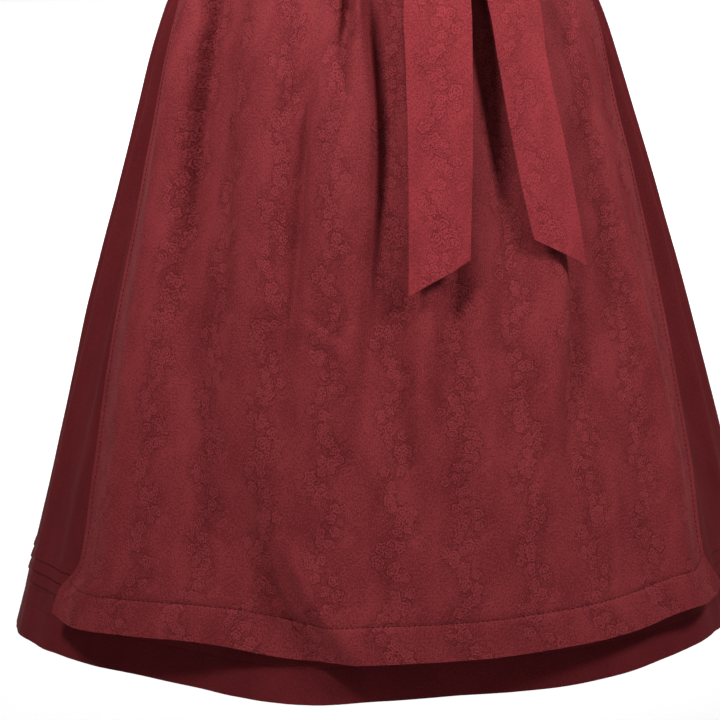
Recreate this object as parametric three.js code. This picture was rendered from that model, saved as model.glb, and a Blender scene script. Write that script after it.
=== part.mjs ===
// A dirndl: sleeveless bodice buttoned in front, pleated skirt with three tucks above its hem, and an
// apron whose ties go round the waist and are tied in a bow at the wearer's left front.
// Millimetres, +Z up. The front faces -Y, and +X is the wearer's left. The origin is the middle of the
// waist seam, where the wearer holds the garment up. The cloth is shown filled out, with nobody in it.
import * as THREE from "three";

// ---------------------------------------------------------------- driving dimensions

const CLOTH = 1.8; // wall of the dress and the apron
const TIE_CLOTH = 1.4; // wall of the ties and the bow
const SEAM = 0.3; // gap between two pieces that are sewn together
const SKIRT_LENGTH = 636; // waist seam to hem at centre front, measured straight down
const SIDE_RISE = 20; // the hem hangs this much higher at the sides
const BAND_HEIGHT = 34; // apron waistband and ties
const BUTTONS = 6;
const BUTTON_RADIUS = 6.5;
const BUTTON_HEIGHT = 3.2;
const BUTTON_SIDES = 14;
const BUTTON_LIFT = 0.5;
const BUTTON_LOWEST = 30;
const BUTTON_HIGHEST = 222;
const KNOT_ANGLE = 24; // the bow sits this many degrees to the wearer's left of centre front
const KNOT = { wide: 40, high: 38, deep: 17 };
const LOOP = { length: 92, depth: 11, droop: 30, narrow: 24, wide: 50 };

const WINE = 0x6b2529;
const APRON_RED = 0x8a383d;
const BUTTON_COLOUR = 0x4a1c1f;

const DEG = Math.PI / 180;

// ---------------------------------------------------------------- tables and curves

// A short table with named columns, read as one smooth curve for each column.
function table(columns, rows) {
  const place = Object.fromEntries(columns.map((name, i) => [name, i]));
  return { rows, place };
}

// Cubic curve through a column of a table. The slope at a row is that of its two neighbours.
function curve({ rows, place }, column, at) {
  const value = (i) => rows[i][place[column]];
  const last = rows.length - 1;
  const x = THREE.MathUtils.clamp(at, rows[0][0], rows[last][0]);
  let i = 0;
  while (i < last - 1 && rows[i + 1][0] <= x) i += 1;
  const slope = (k) => {
    const low = Math.max(k - 1, 0);
    const high = Math.min(k + 1, last);
    return (value(high) - value(low)) / (rows[high][0] - rows[low][0]);
  };
  const span = rows[i + 1][0] - rows[i][0];
  const t = (x - rows[i][0]) / span;
  const back = 1 - t;
  return (
    value(i) * back * back * (1 + 2 * t) +
    value(i + 1) * t * t * (3 - 2 * t) +
    slope(i) * span * t * back * back -
    slope(i + 1) * span * t * t * back
  );
}

// Straight lines between the rows of a table.
function straight({ rows, place }, column, at) {
  const last = rows.length - 1;
  const x = THREE.MathUtils.clamp(at, rows[0][0], rows[last][0]);
  let i = 0;
  while (i < last - 1 && rows[i + 1][0] <= x) i += 1;
  const t = (x - rows[i][0]) / (rows[i + 1][0] - rows[i][0]);
  return THREE.MathUtils.lerp(rows[i][place[column]], rows[i + 1][place[column]], t);
}

const smooth = (x, from, to) => THREE.MathUtils.smoothstep(x, from, to);
const mix = THREE.MathUtils.lerp;
const bell = (x) => Math.exp(-x * x);

// An angle in degrees brought to -180...180, where 0 is centre front and 90 the wearer's left side.
const around = (angle) => THREE.MathUtils.euclideanModulo(angle + 180, 360) - 180;

const spread = (from, to, steps) =>
  Array.from({ length: steps + 1 }, (_, i) => mix(from, to, i / steps));

// ---------------------------------------------------------------- the form of the skirt

// Half-widths to the wearer's right and left, and depths to the front and back, down the skirt.
const SKIRT = table(
  ["down", "right", "left", "front", "back"],
  [
    [0.0, 130, 130, 98, 98],
    [0.03, 134, 134, 101, 102],
    [0.08, 155, 156, 118, 126],
    [0.15, 180, 182, 134, 150],
    [0.3, 208, 211, 153, 172],
    [0.5, 243, 245, 175, 198],
    [0.75, 282, 283, 196, 224],
    [1.0, 321, 320, 214, 246],
  ],
);

// How far the pleats of the sides and back stand out from the form, down the skirt.
const PLEAT_DEPTH = table(
  ["down", "depth"],
  [
    [0.0, 0.8],
    [0.03, 1.3],
    [0.08, 4.2],
    [0.2, 5.5],
    [0.45, 4.6],
    [0.75, 3.0],
    [1.0, 2.2],
  ],
);
const PLEATS = 28;
const PLEAT_ANGLE = 360 / PLEATS;
const PLEAT_LEAN = 0.45; // share by which a pleat leans over to one side
const PLEAT_HELD = { share: 0.2, from: 50, to: 74 }; // they lie nearly flat under the apron
const PLEAT_UNEVEN = [
  { share: 0.3, waves: 5, phase: 1 },
  { share: 0.2, waves: 11, phase: 0 },
];

// The large folds of the skirt: where the crest is, its width to each side, its depth at the hem, and
// how far down it starts.
const SKIRT_FOLDS = table(
  ["angle", "before", "after", "depth", "from"],
  [
    [-168, 11, 12, 9, 0.3],
    [-146, 12, 10, -10, 0.35],
    [-122, 11, 12, 10, 0.2],
    [-101, 9, 8, -6, 0.4],
    [-76, 10, 8, 4, 0.3],
    [-38, 13, 11, -10, 0.4],
    [-12, 13, 8, 14, 0.45],
    [26, 14, 16, 5, 0.5],
    [68, 11, 11, -16, 0.45],
    [106, 9, 12, 8, 0.3],
    [129, 11, 10, -9, 0.3],
    [153, 10, 11, 10, 0.25],
    [175, 9, 9, -8, 0.4],
  ],
);
const FOLD_GROWTH = 1.3; // power by which a fold deepens from its start to the hem

// The three tucks above the hem: each is a narrow fold of cloth that lies down over the next one.
const TUCKS = [0.8925, 0.9085, 0.9245];
const TUCK_HIGH = 0.0135;
const TUCK_STEP = 0.0013;
const TUCK_DEPTH = 1.3;
const TUCK_START = 0.35; // share of that depth at its upper edge

const skirtHeight = (angle) => SKIRT_LENGTH - SIDE_RISE * Math.sin(angle * DEG) ** 2;

// A point on the smooth form of the skirt, moved out.
function onForm(angle, down, out) {
  const sine = Math.sin(angle * DEG);
  const cosine = Math.cos(angle * DEG);
  const half = curve(SKIRT, sine < 0 ? "right" : "left", down) + out;
  const depth = curve(SKIRT, cosine > 0 ? "front" : "back", down) + out;
  return new THREE.Vector3(half * sine, -depth * cosine, -down * skirtHeight(angle));
}

// The pleats: a wave that leans to one side, uneven in depth, nearly gone under the apron.
function pleatOut(angle, down) {
  const turn = (around(angle) / PLEAT_ANGLE) * 2 * Math.PI;
  const free = smooth(Math.abs(around(angle)), PLEAT_HELD.from, PLEAT_HELD.to);
  const uneven = PLEAT_UNEVEN.reduce(
    (sum, { share, waves, phase }) => sum + share * Math.sin(waves * angle * DEG + phase),
    1,
  );
  const wave = Math.cos(turn + PLEAT_LEAN * Math.sin(turn));
  return curve(PLEAT_DEPTH, "depth", down) * mix(PLEAT_HELD.share, 1, free) * uneven * wave;
}

function foldOut(angle, down) {
  const { rows } = SKIRT_FOLDS;
  return rows.reduce((sum, [crest, before, after, depth, from]) => {
    const off = around(angle - crest);
    const grown = THREE.MathUtils.clamp((down - from) / (1 - from), 0, 1) ** FOLD_GROWTH;
    return sum + depth * grown * bell(off / (off < 0 ? before : after));
  }, 0);
}

// Each tuck swells gently to its lower edge and ends there in a step.
function tuckOut(down) {
  return TUCKS.reduce((sum, edge) => {
    const t = (down - (edge - TUCK_HIGH)) / TUCK_HIGH;
    const within = t > 0 && down < edge + TUCK_STEP / 2;
    return within ? sum + TUCK_DEPTH * mix(TUCK_START, 1, t) : sum;
  }, 0);
}

const skirtPoint = (angle, down, relief) =>
  onForm(angle, down, pleatOut(angle, down) + foldOut(angle, down) + relief * tuckOut(down));

// ---------------------------------------------------------------- the form of the apron

// Where the apron's two side edges lie, and how far its cloth stands out from the skirt's form.
const APRON = table(
  ["down", "right", "left", "out", "edge_out"],
  [
    [0.0277, -74, 74, 4.8, 4.8],
    [0.08, -68.5, 71.5, 9.5, 6.0],
    [0.15, -62.5, 67.5, 12, 7.5],
    [0.25, -60.5, 63, 14, 8.5],
    [0.4, -59.6, 61.8, 15, 8.5],
    [0.6, -58.8, 60, 16, 9],
    [0.75, -57, 58.2, 17.5, 10],
    [0.865, -55.6, 55.6, 19, 12],
    [0.905, -59, 57.6, 19.5, 14],
    [0.945, -59.8, 59.6, 20, 15],
  ],
);

// Where the hem hangs, across the apron from the wearer's right edge to the left one.
const APRON_HEM = table(
  ["share", "down"],
  [
    [0.0, 0.938],
    [0.05, 0.943],
    [0.15, 0.937],
    [0.28, 0.931],
    [0.38, 0.941],
    [0.5, 0.947],
    [0.65, 0.948],
    [0.8, 0.945],
    [0.9, 0.932],
    [0.97, 0.921],
    [1.0, 0.908],
  ],
);

// The folds of the apron: the angle of each at its upper and lower end, where it starts, is deepest
// and ends down the skirt, its depth, and its width to each side in degrees.
const APRON_FOLDS = table(
  ["upper", "lower", "from", "deepest", "to", "depth", "before", "after"],
  [
    [-52.9, -47.9, 0.0, 0.2, 0.98, 4, 4, 4.5],
    [-46.1, -39.9, 0.0, 0.2, 0.62, -7, 3, 4],
    [-40.8, -37.2, 0.0, 0.3, 0.8, 4, 3.5, 3.5],
    [-36.3, -29, 0.0, 0.17, 0.6, -7, 4, 2.2],
    [-27.1, -22.5, 0.1, 0.45, 1.05, 4.5, 5, 4],
    [-34.5, -32.7, 0.5, 0.68, 0.95, -4, 4, 5],
    [-15.9, -18.8, 0.2, 0.42, 0.85, -6, 3.5, 3],
    [-9.4, -11.3, 0.0, 0.3, 1.05, 4, 4, 4],
    [-3.2, -6.6, 0.0, 0.22, 0.8, -9, 2.2, 4.2],
    [3.3, 3.8, 0.0, 0.14, 0.45, 3, 3, 3],
    [3.8, 2.8, 0.4, 0.62, 0.95, -4.5, 3, 4],
    [12.2, 8.5, 0.4, 0.6, 0.9, -3.5, 4, 5],
    [24.4, 22.5, 0.0, 0.22, 0.75, -8, 3.4, 4],
    [33.6, 30.8, 0.1, 0.5, 0.95, 4, 4, 2.6],
    [37, 29, 0.3, 0.62, 0.9, -4, 2.6, 4],
    [45.2, 42.6, 0.0, 0.25, 0.8, -4, 3.5, 4],
    [50.4, 50.9, 0.0, 0.3, 1.05, 4.5, 5, 3],
    [55.4, 54.2, 0.0, 0.35, 0.9, -3, 3, 2],
  ],
);
const APRON_TOP = APRON.rows[0][0];
const APRON_EDGE = 9; // degrees over which the cloth rises from its side edge to its full height
const EDGE_FOLD = 0.35; // share of a fold's depth that is left at a side edge
const LEVEL_END = 0.08; // from here down the apron no longer follows its level upper edge

// The small gathers under the waistband: how many in how many degrees, their depth, and where they
// start, are full, begin to fade and are gone down the skirt.
const GATHERS = { count: 23, angle: 150, depth: 1.2, from: 0.03, full: 0.06, fade: 0.1, to: 0.24 };

// How far the apron's surface stands out from the skirt's form: its folds and the small gathers
// under the waistband. Near each side edge it lies closer to the skirt.
function apronOut(angle, down) {
  const right = curve(APRON, "right", down);
  const left = curve(APRON, "left", down);
  const inside = Math.min(angle - right, left - angle);
  const full = smooth(inside, 0, APRON_EDGE);
  const base = mix(curve(APRON, "edge_out", down), curve(APRON, "out", down), full);
  const folds = APRON_FOLDS.rows.reduce((sum, row) => {
    const [upper, lower, from, deepest, to, depth, before, after] = row;
    const off = angle - mix(upper, lower, (down - from) / (to - from));
    const grown = smooth(down, from, deepest) * (1 - smooth(down, deepest, to));
    return sum + depth * grown * bell(off / (off < 0 ? before : after));
  }, 0);
  const { count, depth, from, to } = GATHERS;
  const strength = smooth(down, from, GATHERS.full) * (1 - smooth(down, GATHERS.fade, to));
  const gathers = depth * strength * Math.cos((angle / GATHERS.angle) * 2 * Math.PI * count);
  return base + (folds + gathers) * mix(EDGE_FOLD, 1, full);
}

// A place down the apron, from its top to a hem at the table's end, stretched to the real hem there.
function apronDown(share, even) {
  const hem = curve(APRON_HEM, "down", share);
  const end = APRON.rows[APRON.rows.length - 1][0];
  return mix(APRON_TOP, hem, (even - APRON_TOP) / (end - APRON_TOP));
}

// The upper edge follows the level lower edge of the waistband.
const apronPoint = (share, even) => {
  const down = apronDown(share, even);
  const angle = mix(curve(APRON, "right", down), curve(APRON, "left", down), share);
  const level = (BAND_HEIGHT / 2 + 2 * SEAM) / skirtHeight(angle) - APRON_TOP;
  const lifted = down + level * (1 - smooth(down, APRON_TOP, LEVEL_END));
  return onForm(angle, lifted, apronOut(angle, down));
};

// ---------------------------------------------------------------- the form of the bodice

// Sections of a general figure from the waist to the top of the shoulder.
const BODICE = table(
  ["rise", "up", "half", "front", "back", "shift"],
  [
    [0.0, 0, 130, 98, 98, 0],
    [0.15, 58, 137, 104, 101, 1],
    [0.35, 135, 149, 119, 106, 3],
    [0.5, 193, 155, 127, 109, 5],
    [0.62, 238, 158, 121, 112, 7],
    [0.75, 290, 163, 103, 109, 9],
    [0.86, 337, 169, 81, 96, 11],
    [0.94, 371, 173, 55, 67, 12],
    [0.985, 389, 175, 24, 29, 12],
    [1.0, 394, 175, 0.2, 0.2, 12],
  ],
);

// The upper outline of the bodice: neckline, shoulder strap and armhole, from the centre to the side.
const OUTLINE = table(
  ["angle", "front", "back"],
  [
    [0, 0.6, 0.8],
    [12, 0.604, 0.804],
    [20, 0.62, 0.815],
    [24.5, 0.67, 0.85],
    [27, 1.0, 1.0],
    [34, 1.0, 1.0],
    [41, 1.0, 1.0],
    [43.5, 0.8, 0.84],
    [46, 0.72, 0.76],
    [54, 0.62, 0.65],
    [66, 0.55, 0.565],
    [78, 0.525, 0.53],
    [90, 0.52, 0.52],
  ],
);
const PRINCESS = 46; // the curved seam between centre and side panel reaches the armhole here
const SEAM_ANGLE = SEAM / 2 / BODICE.rows[0][3] / DEG;
const TAPER = { share: 0.4, ends: 0.68 }; // how much closer together the princess seams stand below
const BUST = { angle: 33, wide: 17, rise: 0.5, high: 0.14, depth: 11 };
const OVERLAP = 2.4; // the wearer's right front lies on the left one
const LAP_OVER = 6; // degrees that the right front reaches past the centre
const LAP_UNDER = 4; // degrees that the left front reaches under it
const LAP_START = 8; // from here on the right front stands out over the left one
const LAP_RISE = 4; // degrees over which it rises to there
const SHOULDER_SLOPE = 0.28; // the shoulder falls by this share of the way out from the neck
const SHOULDER_MIDDLE = 96; // the middle of the strap keeps the height of the table
const SHOULDER_START = 0.6; // the slope sets in this far up the bodice

// A point on the bodice. Beyond the ridge of the shoulder the surface runs on down the other side,
// so that its direction there is level.
function bodicePoint(angle, rise, facing, out) {
  const inside = Math.min(rise, 2 - rise);
  const taper = TAPER.share * (1 - smooth(inside, 0, TAPER.ends));
  const bent = angle * (1 - taper * (1 - (angle / 90) ** 2));
  const depth = curve(BODICE, facing, inside) * (rise > 1 ? -1 : 1);
  const half = curve(BODICE, "half", inside);
  const offset = (Math.abs(bent) - BUST.angle) / BUST.wide;
  const bust =
    facing === "front" ? BUST.depth * bell(offset) * bell((inside - BUST.rise) / BUST.high) : 0;
  const x = (half + out) * Math.sin(bent * DEG);
  const y = (depth + bust + out) * Math.cos(bent * DEG);
  const fall = SHOULDER_SLOPE * (Math.abs(x) - SHOULDER_MIDDLE);
  const up = curve(BODICE, "up", inside) - fall * smooth(inside, SHOULDER_START, 1);
  const shift = curve(BODICE, "shift", inside);
  return facing === "front" ? new THREE.Vector3(x, shift - y, up) : new THREE.Vector3(-x, shift + y, up);
}

// ---------------------------------------------------------------- the waist under band and ties

// How much wider the waist gets for each millimetre above its seam.
const WAIST_SPRING = { half: 0.12, front: 0.103, back: 0.052 };

// A point round the waist, above or below its seam, moved out.
function atWaist(angle, up, out) {
  if (up <= 0) return onForm(angle, -up / skirtHeight(angle), out);
  const sine = Math.sin(angle * DEG);
  const cosine = Math.cos(angle * DEG);
  const facing = cosine > 0 ? "front" : "back";
  const half = BODICE.rows[0][2] + up * WAIST_SPRING.half + out;
  const depth = BODICE.rows[0][3] + up * WAIST_SPRING[facing] + out;
  return new THREE.Vector3(half * sine, -depth * cosine, up);
}

// ---------------------------------------------------------------- closed walls

// A wall between an outer and an inner grid of points. u runs to the right and v runs down, seen from
// outside. point(u, v, 1) is the outer face; the inner face lies a thickness under point(u, v, 0).
function wall({ columns, rows, point, thickness, step }) {
  const across = columns.length;
  const positions = [];
  const normalAt = (u, v) => {
    const right = point(u + step[0], v, 0).sub(point(u - step[0], v, 0));
    const down = point(u, v + step[1], 0).sub(point(u, v - step[1], 0));
    return down.cross(right).normalize();
  };
  for (const inner of [false, true])
    for (const v of rows)
      for (const u of columns) {
        const p = inner
          ? point(u, v, 0).addScaledVector(normalAt(u, v), -thickness)
          : point(u, v, 1);
        positions.push(p.x, p.y, p.z);
      }
  const index = [];
  const face = (a, b, c, d) => index.push(a, b, c, a, c, d);
  const outer = (i, j) => j * across + i;
  const inner = (i, j) => (rows.length + j) * across + i;
  const right = across - 1;
  const low = rows.length - 1;
  for (let j = 0; j < low; j += 1) {
    for (let i = 0; i < right; i += 1) {
      face(outer(i, j), outer(i, j + 1), outer(i + 1, j + 1), outer(i + 1, j));
      face(inner(i, j), inner(i + 1, j), inner(i + 1, j + 1), inner(i, j + 1));
    }
    face(outer(0, j), inner(0, j), inner(0, j + 1), outer(0, j + 1));
    face(outer(right, j), outer(right, j + 1), inner(right, j + 1), inner(right, j));
  }
  for (let i = 0; i < right; i += 1) {
    face(outer(i, 0), outer(i + 1, 0), inner(i + 1, 0), inner(i, 0));
    face(outer(i, low), inner(i, low), inner(i + 1, low), outer(i + 1, low));
  }
  const geometry = new THREE.BufferGeometry();
  geometry.setAttribute("position", new THREE.Float32BufferAttribute(positions, 3));
  geometry.setIndex(index);
  return geometry;
}

const dirndl = new THREE.Group();

function add(name, geometry, colour) {
  const material = new THREE.MeshStandardMaterial({ color: colour, roughness: 0.8, metalness: 0 });
  const mesh = new THREE.Mesh(geometry, material);
  mesh.name = name;
  dirndl.add(mesh);
  return mesh;
}

// ---------------------------------------------------------------- skirt

const SKIRT_TOP = SEAM / 2 / SKIRT_LENGTH;
const SKIRT_ROWS = [
  ...[SKIRT_TOP, 0.03, 0.07, 0.13, 0.22, 0.34, 0.49, 0.64, 0.79],
  TUCKS[0] - TUCK_HIGH,
  ...TUCKS.flatMap((edge) => [edge, edge + TUCK_STEP]),
  ...[0.96, 1],
];

// Side seams stand at exactly left and right: each panel stops half a seam gap short of them.
function skirtPanel(columns, facing) {
  const ends = [columns[0], columns[columns.length - 1]];
  const held = (u, v) => {
    const gap = SEAM / 2 / curve(SKIRT, facing, v) / DEG;
    return THREE.MathUtils.clamp(u, ends[0] + gap, ends[1] - gap);
  };
  const point = (u, v, relief) => {
    const edge = u === ends[0] || u === ends[1];
    return skirtPoint(edge ? held(u, v) : u, v, relief);
  };
  return wall({ columns, rows: SKIRT_ROWS, point, thickness: CLOTH, step: [0.4, 0.004] });
}

const FRONT_SIDE = 50;
const frontColumns = [
  ...spread(-90, -FRONT_SIDE, 12),
  ...spread(-FRONT_SIDE, FRONT_SIDE, 15).slice(1, -1),
  ...spread(FRONT_SIDE, 90, 12),
];
add("skirt_front", skirtPanel(frontColumns, "front"), WINE);
add("skirt_back", skirtPanel(spread(90, 270, PLEATS * 2), "back"), WINE);

// ---------------------------------------------------------------- bodice

const BODICE_ROWS = [1, 0.98, 0.93, 0.84, 0.71, 0.57, 0.42, 0.24, 0.1, 0];
const WAIST_GAP = 0.0004; // the bodice starts this share of its rise above the waist seam

function bodicePanel(angles, facing, lap) {
  const top = (angle) => straight(OUTLINE, facing, Math.abs(angle));
  const point = (u, v) => bodicePoint(u, mix(top(u), WAIST_GAP, v), facing, lap(u));
  const rows = BODICE_ROWS.map((share) => 1 - share);
  return wall({ columns: angles, rows, point, thickness: CLOTH, step: [0.3, 0.004] });
}

const noLap = () => 0;
const outlineAngles = OUTLINE.rows.map(([angle]) => angle);
const half = outlineAngles.filter((angle) => angle > 0 && angle < PRINCESS);
const side = outlineAngles.filter((angle) => angle > PRINCESS && angle < 90);
const inner = PRINCESS - SEAM_ANGLE;
const outer = PRINCESS + SEAM_ANGLE;
const sideEdge = 90 - SEAM_ANGLE;
const mirrored = (angles) => angles.map((angle) => -angle).reverse();

// The wearer's left front runs a little past the centre, under the right one.
const leftFront = [-LAP_UNDER, 0, ...half, inner];
const rightFront = [...mirrored([...half, inner]), -LAP_START, -LAP_UNDER, 0, LAP_OVER];
const lapOver = (angle) => OVERLAP * smooth(angle, -LAP_START - LAP_RISE, -LAP_START);
add("bodice_front_left", bodicePanel(leftFront, "front", noLap), WINE);
add("bodice_front_right", bodicePanel(rightFront, "front", lapOver), WINE);
add("bodice_side_left", bodicePanel([outer, ...side, sideEdge], "front", noLap), WINE);
add("bodice_side_right", bodicePanel(mirrored([outer, ...side, sideEdge]), "front", noLap), WINE);
add("bodice_back", bodicePanel([...mirrored([...half, inner]), 0, ...half, inner], "back", noLap), WINE);
add("bodice_side_back_right", bodicePanel([outer, ...side, sideEdge], "back", noLap), WINE);
add("bodice_side_back_left", bodicePanel(mirrored([outer, ...side, sideEdge]), "back", noLap), WINE);

// ---------------------------------------------------------------- buttons

// A domed button with a flat back and a rounded edge, as shares of its radius and its height.
const BUTTON = table(
  ["radius", "height"],
  [
    [0, 0],
    [0.86, 0],
    [1, 0.35],
    [0.88, 0.8],
    [0, 1],
  ],
);
function buttonGeometry() {
  const profile = BUTTON.rows.map(
    ([radius, height]) => new THREE.Vector2(radius * BUTTON_RADIUS, height * BUTTON_HEIGHT),
  );
  const turned = new THREE.LatheGeometry(profile, BUTTON_SIDES);
  turned.rotateX(Math.PI / 2);
  return turned;
}

// The cloth is flat between its rows of points, so a button sits on the line between two of them.
const UP = new THREE.Vector3(0, 0, 1);
const neckline = OUTLINE.rows[0][OUTLINE.place.front];
const centreLine = BODICE_ROWS.map((share) =>
  bodicePoint(0, mix(WAIST_GAP, neckline, share), "front", OVERLAP),
);

spread(BUTTON_LOWEST, BUTTON_HIGHEST, BUTTONS - 1).forEach((up, i) => {
  const next = centreLine.findIndex((point) => point.z <= up);
  const below = centreLine[next];
  const along = centreLine[next - 1].clone().sub(below);
  const seat = below.clone().addScaledVector(along, (up - below.z) / along.z);
  const out = new THREE.Vector3(0, -along.z, along.y).normalize();
  const button = add("button_" + (i + 1), buttonGeometry(), BUTTON_COLOUR);
  button.position.copy(seat.addScaledVector(out, BUTTON_LIFT));
  button.quaternion.setFromUnitVectors(UP, out);
});

// ---------------------------------------------------------------- apron

const BAND_OUT = 4.8; // outer face of the waistband from the waist's form at its lower edge
const BAND_OUT_TOP = 5.6; // and at its upper edge
const BAND_END = 74; // the ties are sewn on at this angle to each side
const LAYER = TIE_CLOTH + 2 * SEAM; // from the outer face of one tie to that of the next one on it

const APRON_ROWS = [APRON_TOP, 0.05, 0.08, 0.12, 0.18, 0.26, 0.36, 0.47, 0.6, 0.73, 0.87, 0.915, 0.945];
add(
  "apron_panel",
  wall({
    columns: spread(0, 1, 42),
    rows: APRON_ROWS,
    point: apronPoint,
    thickness: CLOTH,
    step: [0.004, 0.004],
  }),
  APRON_RED,
);

// A band round the waist. lift(t) is the height of its middle, and layer(t) how far out it is moved.
function band({ from, to, steps, lift, layer, thickness }) {
  const point = (t, v) => {
    const angle = mix(from, to, t);
    const up = lift(t) + mix(BAND_HEIGHT / 2, -BAND_HEIGHT / 2, v);
    return atWaist(angle, up, mix(BAND_OUT_TOP, BAND_OUT, v) + layer(t));
  };
  const rows = spread(0, 1, 3);
  return wall({ columns: spread(0, 1, steps), rows, point, thickness, step: [0.002, 0.01] });
}

const BAND_GAP = SEAM / 2; // degrees left free at each end of the waistband and of each tie
add(
  "apron_waistband",
  band({
    from: -BAND_END + BAND_GAP,
    to: BAND_END - BAND_GAP,
    steps: 26,
    lift: () => 0,
    layer: () => 0,
    thickness: TIE_CLOTH,
  }),
  APRON_RED,
);

// Each tie leaves its end of the waistband, goes round the back, crosses the other one there, and
// comes forward over the other's start to the knot. Where they cross they pass one above the other.
const CROSS_LIFT = 19; // one passes this much above the waist seam and the other as much below it
const CROSS_OUT = 3.4; // they stand a little further out at the crossing
const CROSS_MORE = [0.6, 1.4]; // shares of that for the tie that lies under and the one that lies over
const CROSS = { from: 128, reached: 164, leaves: 196, to: 232 };
const CHANGE = { from: 166, to: 194 }; // a tie climbs here from the lower layer on to the upper one
const crossing = (angle) =>
  smooth(angle, CROSS.from, CROSS.reached) * (1 - smooth(angle, CROSS.leaves, CROSS.to));
const rightTie = { from: -BAND_END - BAND_GAP, to: -360 + KNOT_ANGLE + BAND_GAP };
const leftTie = { from: BAND_END + BAND_GAP, to: 360 + KNOT_ANGLE - BAND_GAP };
const fromStart = (tie, t) => Math.abs(mix(tie.from, tie.to, t));
const tieOut = (angle) => {
  const over = smooth(angle, CHANGE.from, CHANGE.to);
  return over * LAYER + crossing(angle) * CROSS_OUT * mix(...CROSS_MORE, over);
};
for (const [name, tie, sign] of [
  ["tie_right", rightTie, -1],
  ["tie_left", leftTie, 1],
]) {
  const geometry = band({
    from: Math.min(tie.from, tie.to),
    to: Math.max(tie.from, tie.to),
    steps: 48,
    lift: (t) => sign * CROSS_LIFT * crossing(fromStart(tie, sign > 0 ? t : 1 - t)),
    layer: (t) => tieOut(fromStart(tie, sign > 0 ? t : 1 - t)),
    thickness: TIE_CLOTH,
  });
  add(name, geometry, APRON_RED);
}

// ---------------------------------------------------------------- bow

const KNOT_SEAT = BAND_OUT_TOP + LAYER + 0.2; // the knot's back from the waist's form
const WAIST_REACH = 118; // millimetres along the waist for a turn of one radian, near the knot
const KNOT_SOFT = { across: 0.62, out: 0.8, up: 0.7 }; // powers that turn a ball into a soft pad

const BOW_MIDDLE = 1; // height of the bow's middle above the waist seam

// The knot: a rounded pad, fuller at its middle, wrapped round the ties.
function knotGeometry() {
  const pad = new THREE.SphereGeometry(1, 14, 8);
  const p = pad.attributes.position;
  const soften = (x, power) => Math.sign(x) * Math.abs(x) ** power;
  for (let i = 0; i < p.count; i += 1) {
    const across = soften(p.getX(i), KNOT_SOFT.across) * (KNOT.wide / 2);
    const out = soften(p.getZ(i), KNOT_SOFT.out) * (KNOT.deep / 2);
    const up = soften(p.getY(i), KNOT_SOFT.up) * (KNOT.high / 2);
    const angle = KNOT_ANGLE + across / WAIST_REACH / DEG;
    const place = atWaist(angle, BOW_MIDDLE + up, KNOT_SEAT + SEAM + KNOT.deep / 2 + out);
    p.setXYZ(i, place.x, place.y, place.z);
  }
  return pad;
}
add("bow_knot", knotGeometry(), APRON_RED);

// A loop of the bow: the strip goes out on the front, turns, and comes back behind. It widens away
// from the knot and droops.
const LOOP_TURN = [0.1, 0.9]; // shares of a full turn where the strip leaves and enters the knot
const LOOP_REACH = 126; // as WAIST_REACH, for the loops, which lie further out
const LOOP_TUCK = 0.3; // degrees that a loop reaches in behind the knot's edge
const LOOP_SAG = 1.3; // power by which the droop grows away from the knot
const LOOP_CUP = 0.25; // share by which the middle of the strip stands out less than its edges
const LOOP_HANG = { height: 7, from: 0.35 }; // the lower edge hangs out from here on
const LOOP_SEAT = KNOT_SEAT + 1.25 * LOOP.depth + 3.5;
function loop(sign) {
  const start = KNOT_ANGLE + sign * (KNOT.wide / 2 / WAIST_REACH / DEG - LOOP_TUCK);
  const point = (t, v) => {
    const turn = mix(LOOP_TURN[0], LOOP_TURN[1], sign > 0 ? t : 1 - t) * 2 * Math.PI;
    const reach = (1 - Math.cos(turn)) / 2;
    const least = (1 - Math.cos(LOOP_TURN[0] * 2 * Math.PI)) / 2;
    const share = Math.max(0, (reach - least) / (1 - least));
    const angle = start + sign * (share * (LOOP.length / LOOP_REACH / DEG));
    const wide = mix(LOOP.narrow, LOOP.wide, Math.sqrt(share));
    const up = BOW_MIDDLE - LOOP.droop * share ** LOOP_SAG + wide * (0.5 - v);
    const cup = 1 - LOOP_CUP * Math.cos(2 * Math.PI * (v - 0.5));
    const swell = LOOP.depth * Math.sin(turn) * cup;
    const hang = LOOP_HANG.height * Math.max(0, v - LOOP_HANG.from) * share;
    return atWaist(angle, up, LOOP_SEAT + swell + hang);
  };
  const columns = spread(0, 1, 18);
  return wall({ columns, rows: [0, 0.33, 0.67, 1], point, thickness: TIE_CLOTH, step: [0.004, 0.02] });
}
add("bow_loop_outer", loop(1), APRON_RED);
add("bow_loop_inner", loop(-1), APRON_RED);

// The two loose ends: strips that hang from the knot over the apron, cut on the slant.
const END_FORM = table(
  ["down", "inner_right", "inner_left", "outer_right", "outer_left", "out"],
  [
    [0.029, 14, 23.6, 24.4, 34, 18],
    [0.06, 8.5, 23.4, 24.6, 38.4, 22],
    [0.12, 5, 20.9, 24.5, 38.8, 26],
    [0.2, 4.6, 18.7, 24.4, 36.3, 27.5],
    [0.3, 4.4, 16.9, 25.2, 36.5, 28.5],
    [0.39, 4, 15.3, 26.3, 36.7, 29],
    [0.49, 3.5, 13.8, 28.4, 36.5, 29.5],
  ],
);
const END_CUT = {
  inner: { right: 0.485, left: 0.443 },
  outer: { right: 0.425, left: 0.466 },
};
const END_TOP = 0.0292;
const END_ROLL = { depth: 1.6, across: 0.8, along: 0.7, from: 0.2 }; // the strip curls a little

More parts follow.
